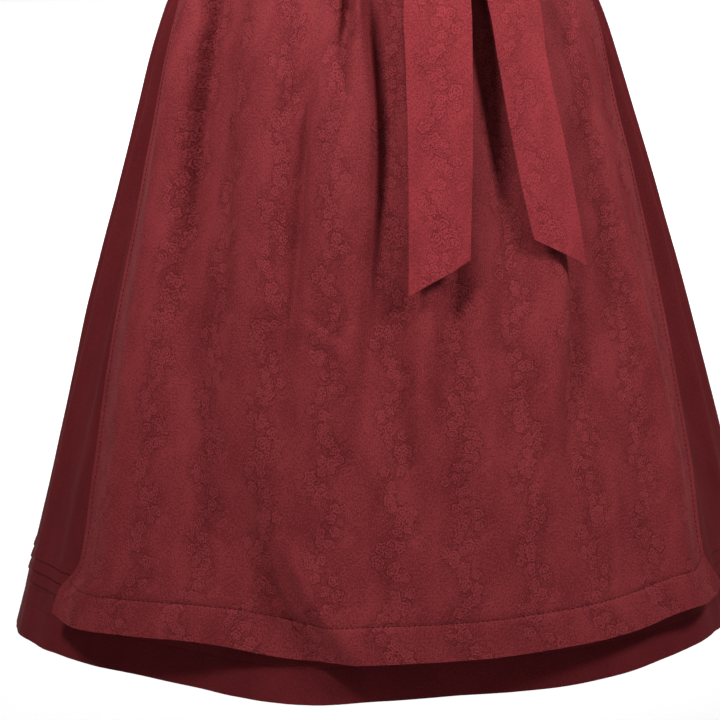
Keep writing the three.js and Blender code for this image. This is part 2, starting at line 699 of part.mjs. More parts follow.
function looseEnd(which) {
  const point = (u, v) => {
    const low = mix(END_CUT[which].right, END_CUT[which].left, u);
    const down = mix(END_TOP, low, v);
    const right = curve(END_FORM, which + "_right", down);
    const left = curve(END_FORM, which + "_left", down);
    const wave = Math.sin(2 * Math.PI * (u * END_ROLL.across + v * END_ROLL.along));
    const roll = END_ROLL.depth * wave * smooth(v, 0, END_ROLL.from);
    return onForm(mix(right, left, u), down, curve(END_FORM, "out", down) + roll);
  };
  const columns = spread(0, 1, 4);
  return wall({ columns, rows: spread(0, 1, 11), point, thickness: TIE_CLOTH, step: [0.02, 0.01] });
}
add("bow_end_inner", looseEnd("inner"), APRON_RED);
add("bow_end_outer", looseEnd("outer"), APRON_RED);

export default dirndl;
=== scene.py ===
# %% [markdown]
# # A dirndl with a jacquard apron
# A dirndl is a close bodice and a wide gathered skirt, with an apron tied over them. This one is shown
# filled out as if somebody wore it, with nobody in it. Every piece of cloth here is a surface worked out
# with numpy from two numbers, one across the cloth and one down it, and given a thin wall.

# %% The fixed frame
import bpy
import numpy as np
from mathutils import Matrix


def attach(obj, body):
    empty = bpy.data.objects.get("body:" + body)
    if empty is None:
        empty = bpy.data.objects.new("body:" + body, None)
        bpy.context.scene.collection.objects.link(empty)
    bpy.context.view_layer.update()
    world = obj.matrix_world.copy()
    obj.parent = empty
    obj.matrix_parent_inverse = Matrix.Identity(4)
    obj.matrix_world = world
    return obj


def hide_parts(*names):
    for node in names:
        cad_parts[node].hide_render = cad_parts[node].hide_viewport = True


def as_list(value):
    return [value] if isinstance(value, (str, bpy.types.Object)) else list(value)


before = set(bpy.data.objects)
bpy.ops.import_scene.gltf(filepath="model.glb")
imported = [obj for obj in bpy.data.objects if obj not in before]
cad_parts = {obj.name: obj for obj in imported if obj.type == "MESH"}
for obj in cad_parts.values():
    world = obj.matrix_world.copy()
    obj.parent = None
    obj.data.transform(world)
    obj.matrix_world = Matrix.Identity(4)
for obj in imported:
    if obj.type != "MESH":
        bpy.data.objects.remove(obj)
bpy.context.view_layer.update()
print("solids in the frame:", len(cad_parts))

# %% [markdown]
# The camera stands a little above the waist and looks down at the skirt through a long lens, so that the
# garment keeps its true width from waist to hem. Its three directions are worked out from where it stands
# and what it looks at, and are then turned by a small roll.

# %% Camera
CAMERA_PLACE = np.array([-0.0229, -3.2, 0.2])
CAMERA_AIM = np.array([-0.0229, 0.0, -0.396])
CAMERA_ROLL = np.radians(-1.1)
CAMERA_LENS = 192


def aimed(obj, place, aim, roll=0.0):
    """Put an object at a place with its -Z towards the aim: its X is level, then turned by the roll."""
    forward = (aim - place) / np.linalg.norm(aim - place)
    right = np.cross(forward, [0, 0, 1])
    right /= np.linalg.norm(right)
    up = np.cross(right, forward)
    turned_right = right * np.cos(roll) + up * np.sin(roll)
    turned_up = up * np.cos(roll) - right * np.sin(roll)
    matrix = np.eye(4)
    matrix[:3, 0], matrix[:3, 1], matrix[:3, 2], matrix[:3, 3] = turned_right, turned_up, -forward, place
    obj.matrix_world = matrix.T
    bpy.context.scene.collection.objects.link(obj)
    return obj


camera = aimed(bpy.data.objects.new("camera", bpy.data.cameras.new("camera")),
               CAMERA_PLACE, CAMERA_AIM, CAMERA_ROLL)
camera.data.lens = CAMERA_LENS
camera.data.sensor_width = 36
camera.data.clip_end = 100
bpy.context.scene.camera = camera
print("camera stands", round(float(np.linalg.norm(CAMERA_AIM - CAMERA_PLACE)), 2), "m from the skirt")

# %% [markdown]
# The forms are given as short tables with named columns, in millimetres, as a pattern cutter would note
# them. A smooth curve through a column gives every value between its rows.

# %% Tables, curves and unevenness
MM = 0.001


def table(columns, *rows):
    """Named columns of a short table, as arrays. The first column is the one that it is read by."""
    return dict(zip(columns.split(), np.array(rows, dtype=float).T))


def hermite(x, y, slope, at):
    """Cubic curve through points x, y that has the given slope at each of them."""
    at = np.clip(at, x[0], x[-1])
    i = np.clip(np.searchsorted(x, at, side="right") - 1, 0, len(x) - 2)
    span = x[i + 1] - x[i]
    t = (at - x[i]) / span
    rest = 1 - t
    return (y[i] * rest * rest * (1 + 2 * t) + y[i + 1] * t * t * (3 - 2 * t)
            + slope[i] * span * t * rest * rest - slope[i + 1] * span * t * t * rest)


def curve(rows, column, at):
    """Curve through a column: the slope at a row is that of its two neighbours."""
    x = next(iter(rows.values()))
    y = rows[column]
    slope = np.concatenate([[(y[1] - y[0]) / (x[1] - x[0])],
                            (y[2:] - y[:-2]) / (x[2:] - x[:-2]),
                            [(y[-1] - y[-2]) / (x[-1] - x[-2])]])
    return hermite(x, y, slope, at)


def steady_curve(rows, column, at):
    """Curve that never overshoots: the slope at a row is twice the product over the sum of the slopes
    before and after it, or 0 at a turning point and at both ends."""
    x = next(iter(rows.values()))
    y = rows[column]
    rise = np.diff(y) / np.diff(x)
    before, after = rise[:-1], rise[1:]
    same_way = before * after > 0
    inner = np.where(same_way, 2 * before * after / np.where(same_way, before + after, 1), 0)
    return hermite(x, y, np.concatenate([[0], inner, [0]]), at)


def smooth(x, start, end):
    """Smoothstep: 0 before the start, 1 after the end, with level ends between."""
    t = np.clip((x - start) / (end - start), 0, 1)
    return t * t * (3 - 2 * t)


def mix(a, b, t):
    """Straight mix of a and b."""
    return a + (b - a) * t


def bell(x):
    """Bell curve, e to the minus x squared."""
    return np.exp(-x * x)


def trough(off, before, after, power=2.0):
    """Bell with its own width on each side; a power under 2 pinches it to a crease."""
    return np.exp(-np.abs(off / np.where(off < 0, before, after)) ** power)


def around(angle):
    """An angle in degrees brought to -180...180; 0 is centre front and 90 the wearer's left."""
    return np.mod(angle + 180, 360) - 180


LATTICE_ROWS = 97


def uneven(across, down, seed, count=64):
    """From -1 to 1: random values on a lattice with one cell per unit, joined smoothly; it repeats
    after `count` cells across."""
    lattice = np.random.default_rng(seed).uniform(-1, 1, (LATTICE_ROWS, count))
    across, down = np.broadcast_arrays(across, down)
    i, j = np.floor(across).astype(int), np.floor(down).astype(int)
    s, t = smooth(across - i, 0, 1), smooth(down - j, 0, 1)
    value = lambda di, dj: lattice[(j + dj) % LATTICE_ROWS, (i + di) % count]
    return mix(mix(value(0, 0), value(1, 0), s), mix(value(0, 1), value(1, 1), s), t)


def round_uneven(angle, down, cells, high, seed):
    """Unevenness round the garment, with a number of cells in the full turn and cells so many mm high."""
    return uneven(np.mod(angle, 360) / 360 * cells, down * SKIRT_LENGTH / high, seed, cells)


# %% [markdown]
# The skirt is a cone that opens fast over the hips and then more slowly. Its half-widths and depths are
# measured at eight heights. Every other surface of skirt, apron and bow stands on this form.

# %% The form of the skirt
SKIRT_LENGTH = 636
SIDE_RISE = 20
HEM_RISE = {"angle": 56, "before": 21, "after": 17, "high": 9, "from": 0.93}
SKIRT = table("down right left front back",
              (0.0, 130, 130, 98, 98),
              (0.03, 134, 134, 101, 102),
              (0.08, 155, 156, 118, 126),
              (0.15, 180, 182, 134, 150),
              (0.3, 208, 211, 153, 172),
              (0.5, 243, 245, 175, 198),
              (0.75, 282, 283, 196, 224),
              (1.0, 321, 320, 214, 246))


def skirt_height(angle):
    """The hem hangs a little higher at the sides."""
    return SKIRT_LENGTH - SIDE_RISE * np.sin(np.radians(angle)) ** 2


def hem_rise(angle, down):
    """The band under the tucks is drawn up at the left front, in mm."""
    lifted = trough(around(angle) - HEM_RISE["angle"], HEM_RISE["before"], HEM_RISE["after"])
    return HEM_RISE["high"] * lifted * smooth(down, HEM_RISE["from"], 1)


def on_form(angle, down, out):
    """Point on an oval of its own size at each height, moved out, in mm: [..., 3]."""
    sine, cosine = np.sin(np.radians(angle)), np.cos(np.radians(angle))
    half = np.where(sine < 0, curve(SKIRT, "right", down), curve(SKIRT, "left", down)) + out
    depth = np.where(cosine > 0, curve(SKIRT, "front", down), curve(SKIRT, "back", down)) + out
    up = hem_rise(angle, down) - down * skirt_height(angle)
    return np.stack([half * sine, -depth * cosine, up], axis=-1)


print("hem is", 2 * int(SKIRT["left"][-1]), "mm wide before its folds")

# %% [markdown]
# Cloth is a closed wall: the outer grid of points, the same grid moved in along its normals, and a rim
# round the edge. Making both grids here, instead of with a modifier, lets the wall be thicker where a
# hem is turned up. The flat place of each point on the cloth is kept as its UV, so weave and pattern
# follow the threads, however the cloth is folded.

# %% Walls of cloth
CLOTH = 0.9
RIM_ANGLE = 62
CUT = {}


def grid_normals(points):
    """Outward unit normals of a grid: down the cloth cross right, from differences of neighbours."""
    normal = np.cross(np.gradient(points, axis=0), np.gradient(points, axis=1))
    return normal / np.maximum(np.linalg.norm(normal, axis=-1, keepdims=True), 1e-9)


def smooth_piece(name, vertices, faces, uv, material):
    """A smooth mesh from arrays in mm, with a flat place for each of its points, on the garment."""
    mesh = bpy.data.meshes.new(name)
    mesh.from_pydata((vertices * MM).tolist(), [], faces)
    mesh.polygons.foreach_set("use_smooth", np.ones(len(mesh.polygons), dtype=bool))
    corner = np.empty(len(mesh.loops), dtype=np.int32)
    mesh.loops.foreach_get("vertex_index", corner)
    layer = mesh.uv_layers.new(name="cloth")
    layer.data.foreach_set("uv", (uv[corner] * MM).astype(np.float32).ravel())
    mesh.materials.append(material)
    piece = bpy.data.objects.new(name, mesh)
    bpy.context.scene.collection.objects.link(piece)
    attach(piece, "root")
    return piece


def new_piece(node, vertices, faces, uv, material):
    """A smooth piece with sharp rims that stands for a solid of the frame."""
    piece = smooth_piece(node + "_cloth", vertices, faces, uv, material)
    piece.data.set_sharp_from_angle(angle=np.radians(RIM_ANGLE))
    piece.data.validate()
    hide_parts(node)
    return piece


def wall_faces(rows, columns):
    """Quads of both faces and of the four rims of a wall; the inner grid follows the outer one."""
    index = np.arange(rows * columns).reshape(rows, columns)
    inner = index + rows * columns
    quads = [
        (index[:-1, :-1], index[1:, :-1], index[1:, 1:], index[:-1, 1:]),
        (inner[:-1, :-1], inner[:-1, 1:], inner[1:, 1:], inner[1:, :-1]),
        (index[:-1, 0], inner[:-1, 0], inner[1:, 0], index[1:, 0]),
        (index[:-1, -1], index[1:, -1], inner[1:, -1], inner[:-1, -1]),
        (index[0, :-1], index[0, 1:], inner[0, 1:], inner[0, :-1]),
        (index[-1, :-1], inner[-1, :-1], inner[-1, 1:], index[-1, 1:]),
    ]
    return np.concatenate([np.stack([corner.ravel() for corner in quad], axis=-1) for quad in quads])


def cloth_wall(node, outer, uv, material, thickness=CLOTH):
    """Closed wall under a grid of outer points [down, across, 3], with its flat places [down, across, 2]."""
    inner = outer - grid_normals(outer) * np.broadcast_to(thickness, outer.shape[:2])[..., None]
    vertices = np.concatenate([outer.reshape(-1, 3), inner.reshape(-1, 3)])
    flat = np.tile(uv.reshape(-1, 2), (2, 1))
    CUT[node] = outer
    return new_piece(node, vertices, wall_faces(*outer.shape[:2]).tolist(), flat, material)


def row_length(points):
    """Length along a row of points, in mm."""
    return float(np.linalg.norm(np.diff(points, axis=0), axis=-1).sum())


# %% [markdown]
# Materials are node graphs. A few short helpers keep them readable: one makes a node and fills its
# sockets with numbers or with other nodes' outputs, and one does arithmetic.

# %% Helpers for node graphs
def fill(tree, socket, value):
    """Give a socket a plain value, or join another node's output to it."""
    if isinstance(value, bpy.types.NodeSocket):
        tree.links.new(value, socket)
    else:
        socket.default_value = value


def node(tree, kind, inputs=None, output=0, **settings):
    """Make a node, set its properties and sockets, and return one of its outputs."""
    made = tree.nodes.new(kind)
    for name, value in settings.items():
        setattr(made, name, value)
    for name, value in (inputs or {}).items():
        fill(tree, made.inputs[name], value)
    return made.outputs[output]


def calc(tree, operation, *values, clamp=False):
    """A Math node on numbers or outputs."""
    return node(tree, "ShaderNodeMath", dict(enumerate(values)), operation=operation, use_clamp=clamp)


def ramp(tree, value, start, end, low=0.0, high=1.0):
    """Smooth step of a value, from low at the start to high at the end."""
    return node(tree, "ShaderNodeMapRange",
                {"Value": value, "From Min": start, "From Max": end, "To Min": low, "To Max": high},
                interpolation_type="SMOOTHSTEP")


def blend_colour(tree, factor, a, b):
    """Mix two colours."""
    made = tree.nodes.new("ShaderNodeMix")
    made.data_type = "RGBA"
    for name, value in (("Factor", factor), ("A", a), ("B", b)):
        fill(tree, next(s for s in made.inputs if s.name == name and s.enabled), value)
    return next(s for s in made.outputs if s.enabled)


def new_group(name, inputs, outputs):
    """An empty shader node group with named inputs and outputs: (tree, its inputs, its output node)."""
    tree = bpy.data.node_groups.new(name, "ShaderNodeTree")
    for label, kind, value in inputs:
        socket = tree.interface.new_socket(label, in_out="INPUT", socket_type=kind)
        if value is not None:
            socket.default_value = value
    for label, kind in outputs:
        tree.interface.new_socket(label, in_out="OUTPUT", socket_type=kind)
    return tree, tree.nodes.new("NodeGroupInput").outputs, tree.nodes.new("NodeGroupOutput").inputs


def use_group(tree, group, **inputs):
    """Place a group in a material and return its outputs."""
    made = tree.nodes.new("ShaderNodeGroup")
    made.node_tree = group
    for label, value in inputs.items():
        fill(tree, made.inputs[label], value)
    return made.outputs


# %% [markdown]
# Plain woven cloth shows fine threads that cross, slightly uneven in thickness and in how much dye they
# took. The threads could be drawn one by one, but from a step away only their unevenness is seen, so
# this group stretches two noises along the two directions of the threads. It works in millimetres.

# %% Weave
FLOAT, VECTOR = "NodeSocketFloat", "NodeSocketVector"
GRAIN_GAIN = 1.9


def stretched_noise(tree, place, across, along, detail=2.0):
    """Noise of a size of its own in each direction of the cloth, in mm, from 0 to 1."""
    scaled = node(tree, "ShaderNodeMapping", {"Vector": place, "Scale": (1 / across, 1 / along, 1.0)})
    return node(tree, "ShaderNodeTexNoise",
                {"Vector": scaled, "Scale": 1.0, "Detail": detail, "Roughness": 0.6})


weave, given, put = new_group(
    "woven threads",
    [("Place", VECTOR, None), ("Thread", FLOAT, 0.45)],
    [("Height", FLOAT), ("Tone", FLOAT)])
thread_place = node(weave, "ShaderNodeVectorMath",
                    {0: given["Place"], "Scale": given["Thread"]}, operation="SCALE")
warp = stretched_noise(weave, thread_place, 0.45, 4.0)
weft = stretched_noise(weave, thread_place, 4.0, 0.45)
weave.links.new(calc(weave, "ADD", warp, weft), put["Height"])
broad = stretched_noise(weave, thread_place, 30.0, 60.0)
grain = stretched_noise(weave, thread_place, 1.1, 1.6, 1.0)
speckle = calc(weave, "ADD", grain, calc(weave, "MULTIPLY", calc(weave, "ADD", warp, weft), 0.5))
tone = calc(weave, "MULTIPLY_ADD", calc(weave, "SUBTRACT", speckle, 1.0), GRAIN_GAIN, broad)
weave.links.new(tone, put["Tone"])
print("group:", weave.name)

# %% [markdown]
# The apron's jacquard shows garlands of small roses and leaves that climb the cloth in gentle waves,
# with plain satin between them. All of it is one red: figure and ground differ only in how the threads
# lie, so in brightness and gloss. A Voronoi texture gives each blossom its own cell and centre. Petals
# are drawn round the centre as a wave in the distance from it, and only cells whose centre lies in the
# winding band are used, so no blossom is cut. Small rings stand beside the band, once a repeat.

# %% Jacquard garlands
GARLAND_APART = 58.0
GARLAND_REPEAT = 56.0
GARLAND_SWING = 7.0
GARLAND_HALF = 14.0
ROSE_CELL = 9.5
LEAF_CELL = 5.2
WAVER_SCALE, WAVER_REACH = 0.32, 4.2


def wrapped(tree, value, period):
    """A coordinate brought to half a period on each side of zero."""
    return calc(tree, "WRAP", value, period / 2, -period / 2)


def from_garland(tree, place):
    """Distance across the cloth from the middle of the nearest garland, which swings as a sine."""
    across, down = [node(tree, "ShaderNodeSeparateXYZ", {0: place}, output=i) for i in (0, 1)]
    swing = calc(tree, "SINE", calc(tree, "MULTIPLY", down, 2 * np.pi / GARLAND_REPEAT))
    return wrapped(tree, calc(tree, "MULTIPLY_ADD", swing, GARLAND_SWING, across), GARLAND_APART)


def drawn_ring(tree, share, at, half):
    """A line round the centre where the share of the reach is near a value."""
    return ramp(tree, calc(tree, "ABSOLUTE", calc(tree, "SUBTRACT", share, at)), half, half * 2.4, 1.0, 0.0)


def flower(tree, place, cell, half, petals, size):
    """Cells of flowers: (petals, outlines), for the cells whose centre lies in the garland. The reach of
    a flower is a wave round its centre, with a size of its own for each cell."""
    cells = tree.nodes.new("ShaderNodeTexVoronoi")
    cells.voronoi_dimensions = "2D"
    tree.links.new(node(tree, "ShaderNodeVectorMath", {0: place, "Scale": 1 / cell}, operation="SCALE"),
                   cells.inputs["Vector"])
    cells.inputs["Scale"].default_value = 1.0
    cells.inputs["Randomness"].default_value = 0.8
    centre = node(tree, "ShaderNodeVectorMath", {0: cells.outputs["Position"], "Scale": cell},
                  operation="SCALE")
    chosen = ramp(tree, calc(tree, "ABSOLUTE", from_garland(tree, centre)), half, half + 0.5, 1.0, 0.0)
    off = node(tree, "ShaderNodeVectorMath", {0: place, 1: centre}, operation="SUBTRACT")
    x, y = [node(tree, "ShaderNodeSeparateXYZ", {0: off}, output=i) for i in (0, 1)]
    chance = [node(tree, "ShaderNodeSeparateXYZ", {0: cells.outputs["Color"]}, output=i) for i in (0, 1)]
    turn = calc(tree, "MULTIPLY_ADD", chance[0], 6.3, calc(tree, "ARCTAN2", y, x))
    wave = calc(tree, "COSINE", calc(tree, "MULTIPLY", turn, petals))
    own = calc(tree, "MULTIPLY_ADD", chance[1], 0.35 * size * cell, 0.8 * size * cell)
    reach = calc(tree, "MULTIPLY", own, calc(tree, "MULTIPLY_ADD", wave, 0.14, 1.0))
    far = calc(tree, "SQRT", calc(tree, "MULTIPLY_ADD", x, x, calc(tree, "MULTIPLY", y, y)))
    curl = calc(tree, "MULTIPLY", calc(tree, "SINE", calc(tree, "MULTIPLY", turn, 3.0)), 0.07)
    share = calc(tree, "DIVIDE", far, reach)
    filled = calc(tree, "MULTIPLY", chosen, ramp(tree, share, 0.88, 1.05, 1.0, 0.0))
    inner = drawn_ring(tree, calc(tree, "ADD", share, curl), 0.55, 0.07)
    heart = ramp(tree, share, 0.12, 0.26, 1.0, 0.0)
    outside = calc(tree, "MULTIPLY", chosen, drawn_ring(tree, share, 1.08, 0.08))
    inside = calc(tree, "MULTIPLY", filled, calc(tree, "MAXIMUM", inner, heart))
    return filled, calc(tree, "MAXIMUM", outside, inside)


garlands, given, put = new_group(
    "jacquard garlands", [("Place", VECTOR, None)], [("Band", FLOAT), ("Figure", FLOAT), ("Lines", FLOAT)])
waver = node(garlands, "ShaderNodeTexNoise",
             {"Vector": given["Place"], "Scale": WAVER_SCALE, "Detail": 3.0}, output=1)
waver = node(garlands, "ShaderNodeVectorMath", {0: waver, 1: (0.5, 0.5, 0.5)}, operation="SUBTRACT")
waver = node(garlands, "ShaderNodeVectorMath", {0: waver, "Scale": WAVER_REACH}, operation="SCALE")
drawn_place = node(garlands, "ShaderNodeVectorMath", {0: given["Place"], 1: waver}, operation="ADD")
roses, rose_lines = flower(garlands, drawn_place, ROSE_CELL, GARLAND_HALF - 4.5, 5.0, 0.5)
leaves, leaf_lines = flower(garlands, drawn_place, LEAF_CELL, GARLAND_HALF - 0.5, 2.0, 0.48)
down = node(garlands, "ShaderNodeSeparateXYZ", {0: given["Place"]}, output=1)
beside = from_garland(garlands, given["Place"])
ring_x = calc(garlands, "SUBTRACT", beside, GARLAND_HALF + 5)
ring_y = wrapped(garlands, down, GARLAND_REPEAT)
ring_far = calc(garlands, "SQRT", calc(garlands, "MULTIPLY_ADD", ring_x, ring_x,
                                       calc(garlands, "MULTIPLY", ring_y, ring_y)))
ring = calc(garlands, "MULTIPLY", drawn_ring(garlands, ring_far, 3.0, 0.6), 0.6)
no_rose = calc(garlands, "SUBTRACT", 1.0, calc(garlands, "MAXIMUM", roses, rose_lines))
only_leaves = calc(garlands, "MULTIPLY", leaves, no_rose)
band = ramp(garlands, calc(garlands, "ABSOLUTE", beside), GARLAND_HALF - 6, GARLAND_HALF + 2, 1.0, 0.0)
garlands.links.new(band, put["Band"])
garlands.links.new(calc(garlands, "MAXIMUM", calc(garlands, "MAXIMUM", roses, ring),
                        calc(garlands, "MULTIPLY", only_leaves, 0.7)), put["Figure"])
garlands.links.new(calc(garlands, "MAXIMUM", rose_lines, calc(garlands, "MULTIPLY", leaf_lines, no_rose)),
                   put["Lines"])
print("garlands every", GARLAND_APART, "mm")


# %% [markdown]
# Each cloth's material reads its flat place from the UV, in millimetres. The shader stays in the
# material, with sheen for the fine fibres that stand off the cloth and catch light at a grazing angle.

# %% Cloth materials
THREAD_RELIEF = 0.0003
PLAIN_SHARE = 0.34


def cloth_place(tree):
    """The flat place on the cloth in mm, from the piece's own UV."""
    uv = node(tree, "ShaderNodeUVMap", uv_map="cloth")
    return node(tree, "ShaderNodeVectorMath", {0: uv, "Scale": 1000.0}, operation="SCALE")


def new_material(name, roughness, sheen, sheen_tint):
    """A material with a Principled shader whose plain values are set on its own sockets."""
    material = bpy.data.materials.new(name)
    material.use_nodes = True
    shader = material.node_tree.nodes["Principled BSDF"]
    shader.inputs["Roughness"].default_value = roughness
    shader.inputs["Specular IOR Level"].default_value = 0.03
    shader.inputs["Sheen Weight"].default_value = sheen
    shader.inputs["Sheen Roughness"].default_value = 0.45
    shader.inputs["Sheen Tint"].default_value = sheen_tint
    return material, material.node_tree, shader


def plain_cloth(name, dark, light, thread=1.0):
    """Plain weave between two tones of its dye."""
    material, tree, shader = new_material(name, 0.85, 0.02, (1.0, 0.62, 0.6, 1.0))
    threads = use_group(tree, weave, Place=cloth_place(tree), Thread=thread)
    tone = ramp(tree, threads["Tone"], 0.2, 0.8)
    tree.links.new(blend_colour(tree, tone, dark, light), shader.inputs["Base Color"])
    bump = node(tree, "ShaderNodeBump",
                {"Height": threads["Height"], "Strength": 0.35, "Distance": THREAD_RELIEF})
    tree.links.new(bump, shader.inputs["Normal"])
    return material


def jacquard_cloth(name, dark, light, between, petal, outline):
    """The weave with garlands: the band between the blossoms, their petals and their outlines each have a
    tone, and change the gloss and height of the cloth."""
    material, tree, shader = new_material(name, 0.65, 0.02, (1.0, 0.66, 0.64, 1.0))
    place = cloth_place(tree)
    threads = use_group(tree, weave, Place=place, Thread=1.0)
    drawn = use_group(tree, garlands, Place=place)
    tone = ramp(tree, threads["Tone"], 0.2, 0.8)
    ground = blend_colour(tree, tone, dark, light)
    with_band = blend_colour(tree, drawn["Band"], ground, between)
    with_petals = blend_colour(tree, drawn["Figure"], with_band, petal)
    broken = calc(tree, "MULTIPLY", drawn["Lines"], ramp(tree, threads["Tone"], 0.75, 0.35, 0.35, 1.0))
    coloured = blend_colour(tree, broken, with_petals, outline)
    tree.links.new(blend_colour(tree, PLAIN_SHARE, coloured, blend_colour(tree, tone, outline, petal)),
                   shader.inputs["Base Color"])
    rough = node(tree, "ShaderNodeMapRange", {"Value": drawn["Figure"], "To Min": 0.6, "To Max": 0.78})
    tree.links.new(rough, shader.inputs["Roughness"])
    relief = calc(tree, "MULTIPLY_ADD", drawn["Lines"], -1.0,
                  calc(tree, "MULTIPLY_ADD", threads["Height"], 0.7, drawn["Figure"]))
    bump = node(tree, "ShaderNodeBump", {"Height": relief, "Strength": 0.4, "Distance": THREAD_RELIEF})
    tree.links.new(bump, shader.inputs["Normal"])
    return material


dress_cloth = plain_cloth("dress cloth", (0.085, 0.0093, 0.0115, 1), (0.115, 0.0132, 0.016, 1))
apron_cloth = jacquard_cloth("apron jacquard", (0.14, 0.0165, 0.02, 1), (0.195, 0.0258, 0.0295, 1),
                             (0.132, 0.0153, 0.0185, 1), (0.222, 0.0315, 0.036, 1),
                             (0.085, 0.009, 0.0115, 1))
# The bow's loose ends get the apron's jacquard in lighter tones. This is painted light, for the lamps' light
# that falls more on the ends than on the apron behind them.
end_cloth_painted_light = jacquard_cloth("jacquard painted light for the ends", (0.172, 0.0193, 0.0242, 1), (0.238, 0.028, 0.0338, 1),
                           (0.19, 0.0213, 0.0262, 1), (0.27, 0.034, 0.0405, 1), (0.112, 0.0118, 0.015, 1))
thread_cloth = plain_cloth("sewing thread", (0.055, 0.0065, 0.0085, 1), (0.085, 0.0105, 0.013, 1), 4.0)
button_cloth = plain_cloth("button cloth", (0.07, 0.011, 0.013, 1), (0.1, 0.016, 0.019, 1))

# %% [markdown]
# Seams and hems are sewn with running stitches. Each stitch is a small rounded bead of thread, longer
# than it is wide, that follows the cloth. All stitches of a seam are one mesh, made at once: one ring of
# six points is carried along each stitch at four places.

# %% Stitches
STITCH_SIDES = 6
STITCH_RINGS = 4


def along_path(path, apart):
    """Points at even distances along a path, and the path's direction there."""
    step = np.linalg.norm(np.diff(path, axis=0), axis=-1)
    length = np.concatenate([[0], np.cumsum(step)])
    at = np.arange(apart / 2, length[-1], apart)
    points = np.stack([np.interp(at, length, path[:, k]) for k in range(3)], axis=-1)
    ahead = np.stack([np.interp(at + 0.6, length, path[:, k]) for k in range(3)], axis=-1)
    behind = np.stack([np.interp(at - 0.6, length, path[:, k]) for k in range(3)], axis=-1)
    direction = ahead - behind
    return points, direction / np.linalg.norm(direction, axis=-1, keepdims=True), at / length[-1]


def stitches(name, paths, normals, slot, apart=4.2, long=2.9, thick=0.32, sink=0.05):
    """Beads along paths that lie on the cloth. A bead's radius is the root of a rounded bump."""
    vertices, faces = [], []
    count = 0
    for path, normal in zip(paths, normals):
        points, direction, share = along_path(path, apart)
        at = share * (len(normal) - 1)
        up = np.stack([np.interp(at, np.arange(len(normal)), normal[:, k]) for k in range(3)], axis=-1)
        side = np.cross(up, direction)
        side /= np.linalg.norm(side, axis=-1, keepdims=True)
        along = np.linspace(-0.5, 0.5, STITCH_RINGS)[None, :, None, None]
        swell = np.sqrt(1.02 - (2 * along) ** 2 * 0.9)
        turn = np.linspace(0, 2 * np.pi, STITCH_SIDES, endpoint=False)[None, None, :, None]
        ring = (points[:, None, None] + direction[:, None, None] * along * long
                + side[:, None, None] * np.cos(turn) * swell * thick
                + up[:, None, None] * (np.sin(turn) * swell * thick + thick * 0.5 - sink))
        vertices.append(ring.reshape(-1, 3))
        n = len(points)
        base = np.arange(n)[:, None, None] * STITCH_RINGS * STITCH_SIDES + count
        r = np.arange(STITCH_RINGS - 1)[None, :, None] * STITCH_SIDES
        s = np.arange(STITCH_SIDES)[None, None, :]
        after = (s + 1) % STITCH_SIDES
        quad = np.stack(np.broadcast_arrays(base + r + s, base + r + after,
                                            base + r + STITCH_SIDES + after,
                                            base + r + STITCH_SIDES + s), axis=-1)
        faces.extend(quad.reshape(-1, 4).tolist())
        first = np.arange(STITCH_SIDES)[::-1]
        ends = (STITCH_RINGS - 1) * STITCH_SIDES + np.arange(STITCH_SIDES)
        faces.extend((base[:, 0] + first).tolist())
        faces.extend((base[:, 0] + ends).tolist())
        count += n * STITCH_RINGS * STITCH_SIDES
    vertices = np.concatenate(vertices)
    print(name, "has", count // (STITCH_RINGS * STITCH_SIDES), "stitches")
    return smooth_piece(name, vertices, faces, vertices[:, [0, 2]], thread_cloth)


# %% [markdown]
# The skirt's folds are its pleats, a few large folds that open towards the hem, three tucks, and the
# small unevenness that no pressed cloth is without. A pleat is a wave that leans to one side. A tuck is
# a narrow fold that lies down over the next one: it swells to its lower edge and ends there in a step.

# %% Folds of the skirt
PLEAT_DEPTH = table("down depth", (0.0, 0.8), (0.03, 1.3), (0.08, 4.2), (0.2, 5.5), (0.45, 4.6),
                    (0.75, 2.4), (0.9, 1.2), (1.0, 0.7))
PLEATS = 28
PLEAT_INWARD = 1.15
SKIRT_FOLDS = table("crest before after depth start",
                    (-168, 11, 12, 9, 0.3), (-146, 12, 10, -10, 0.35), (-122, 11, 12, 10, 0.2),
                    (-101, 9, 8, -6, 0.4), (-76, 10, 8, 4, 0.3), (-38, 13, 11, -10, 0.4),
                    (-12, 13, 7, 15, 0.45), (9, 8, 11, -8, 0.5), (30, 12, 15, 5, 0.5),
                    (68, 11, 11, -16, 0.45), (106, 9, 12, 8, 0.3), (129, 11, 10, -9, 0.3),
                    (153, 10, 11, 10, 0.25), (175, 9, 9, -8, 0.4))
TUCKS = (0.8925, 0.9085, 0.9245)
TUCK_HIGH = 0.0135
TUCK_DEPTH = 1.1
TUCK_STEP = 0.0013
HEM_STITCH = 0.955


def pleat_out(angle, down):
    """A leaning wave, uneven in depth round the skirt, nearly gone under the apron. It lies inside the
    form, which is as wide as the pleats' crests."""
    turn = around(angle) / 360 * PLEATS * 2 * np.pi
    free = mix(0.2, 1, smooth(np.abs(around(angle)), 50, 74))
    strength = 1 + 0.3 * np.sin(np.radians(5 * angle) + 1) + 0.2 * np.sin(np.radians(11 * angle))
    wave = np.cos(turn + 0.45 * np.sin(turn)) - PLEAT_INWARD
    return curve(PLEAT_DEPTH, "depth", down) * free * strength * wave


def skirt_folds_out(angle, down):
    """Large folds: a bell round each crest that deepens from its start to the hem."""
    total = 0
    for crest, before, after, depth, start in zip(*SKIRT_FOLDS.values()):
        grown = np.clip((down - start) / (1 - start), 0, 1) ** 1.3
        total = total + depth * grown * trough(around(angle - crest), before, after)
    return total


def tucks_out(down):
    """Each tuck swells to its lower edge and ends in a step."""
    total = 0
    for edge in TUCKS:
        t = (down - (edge - TUCK_HIGH)) / TUCK_HIGH
        within = (t > 0) & (down < edge + TUCK_STEP / 2)
        total = total + np.where(within, TUCK_DEPTH * mix(0.35, 1, t), 0)
    return total


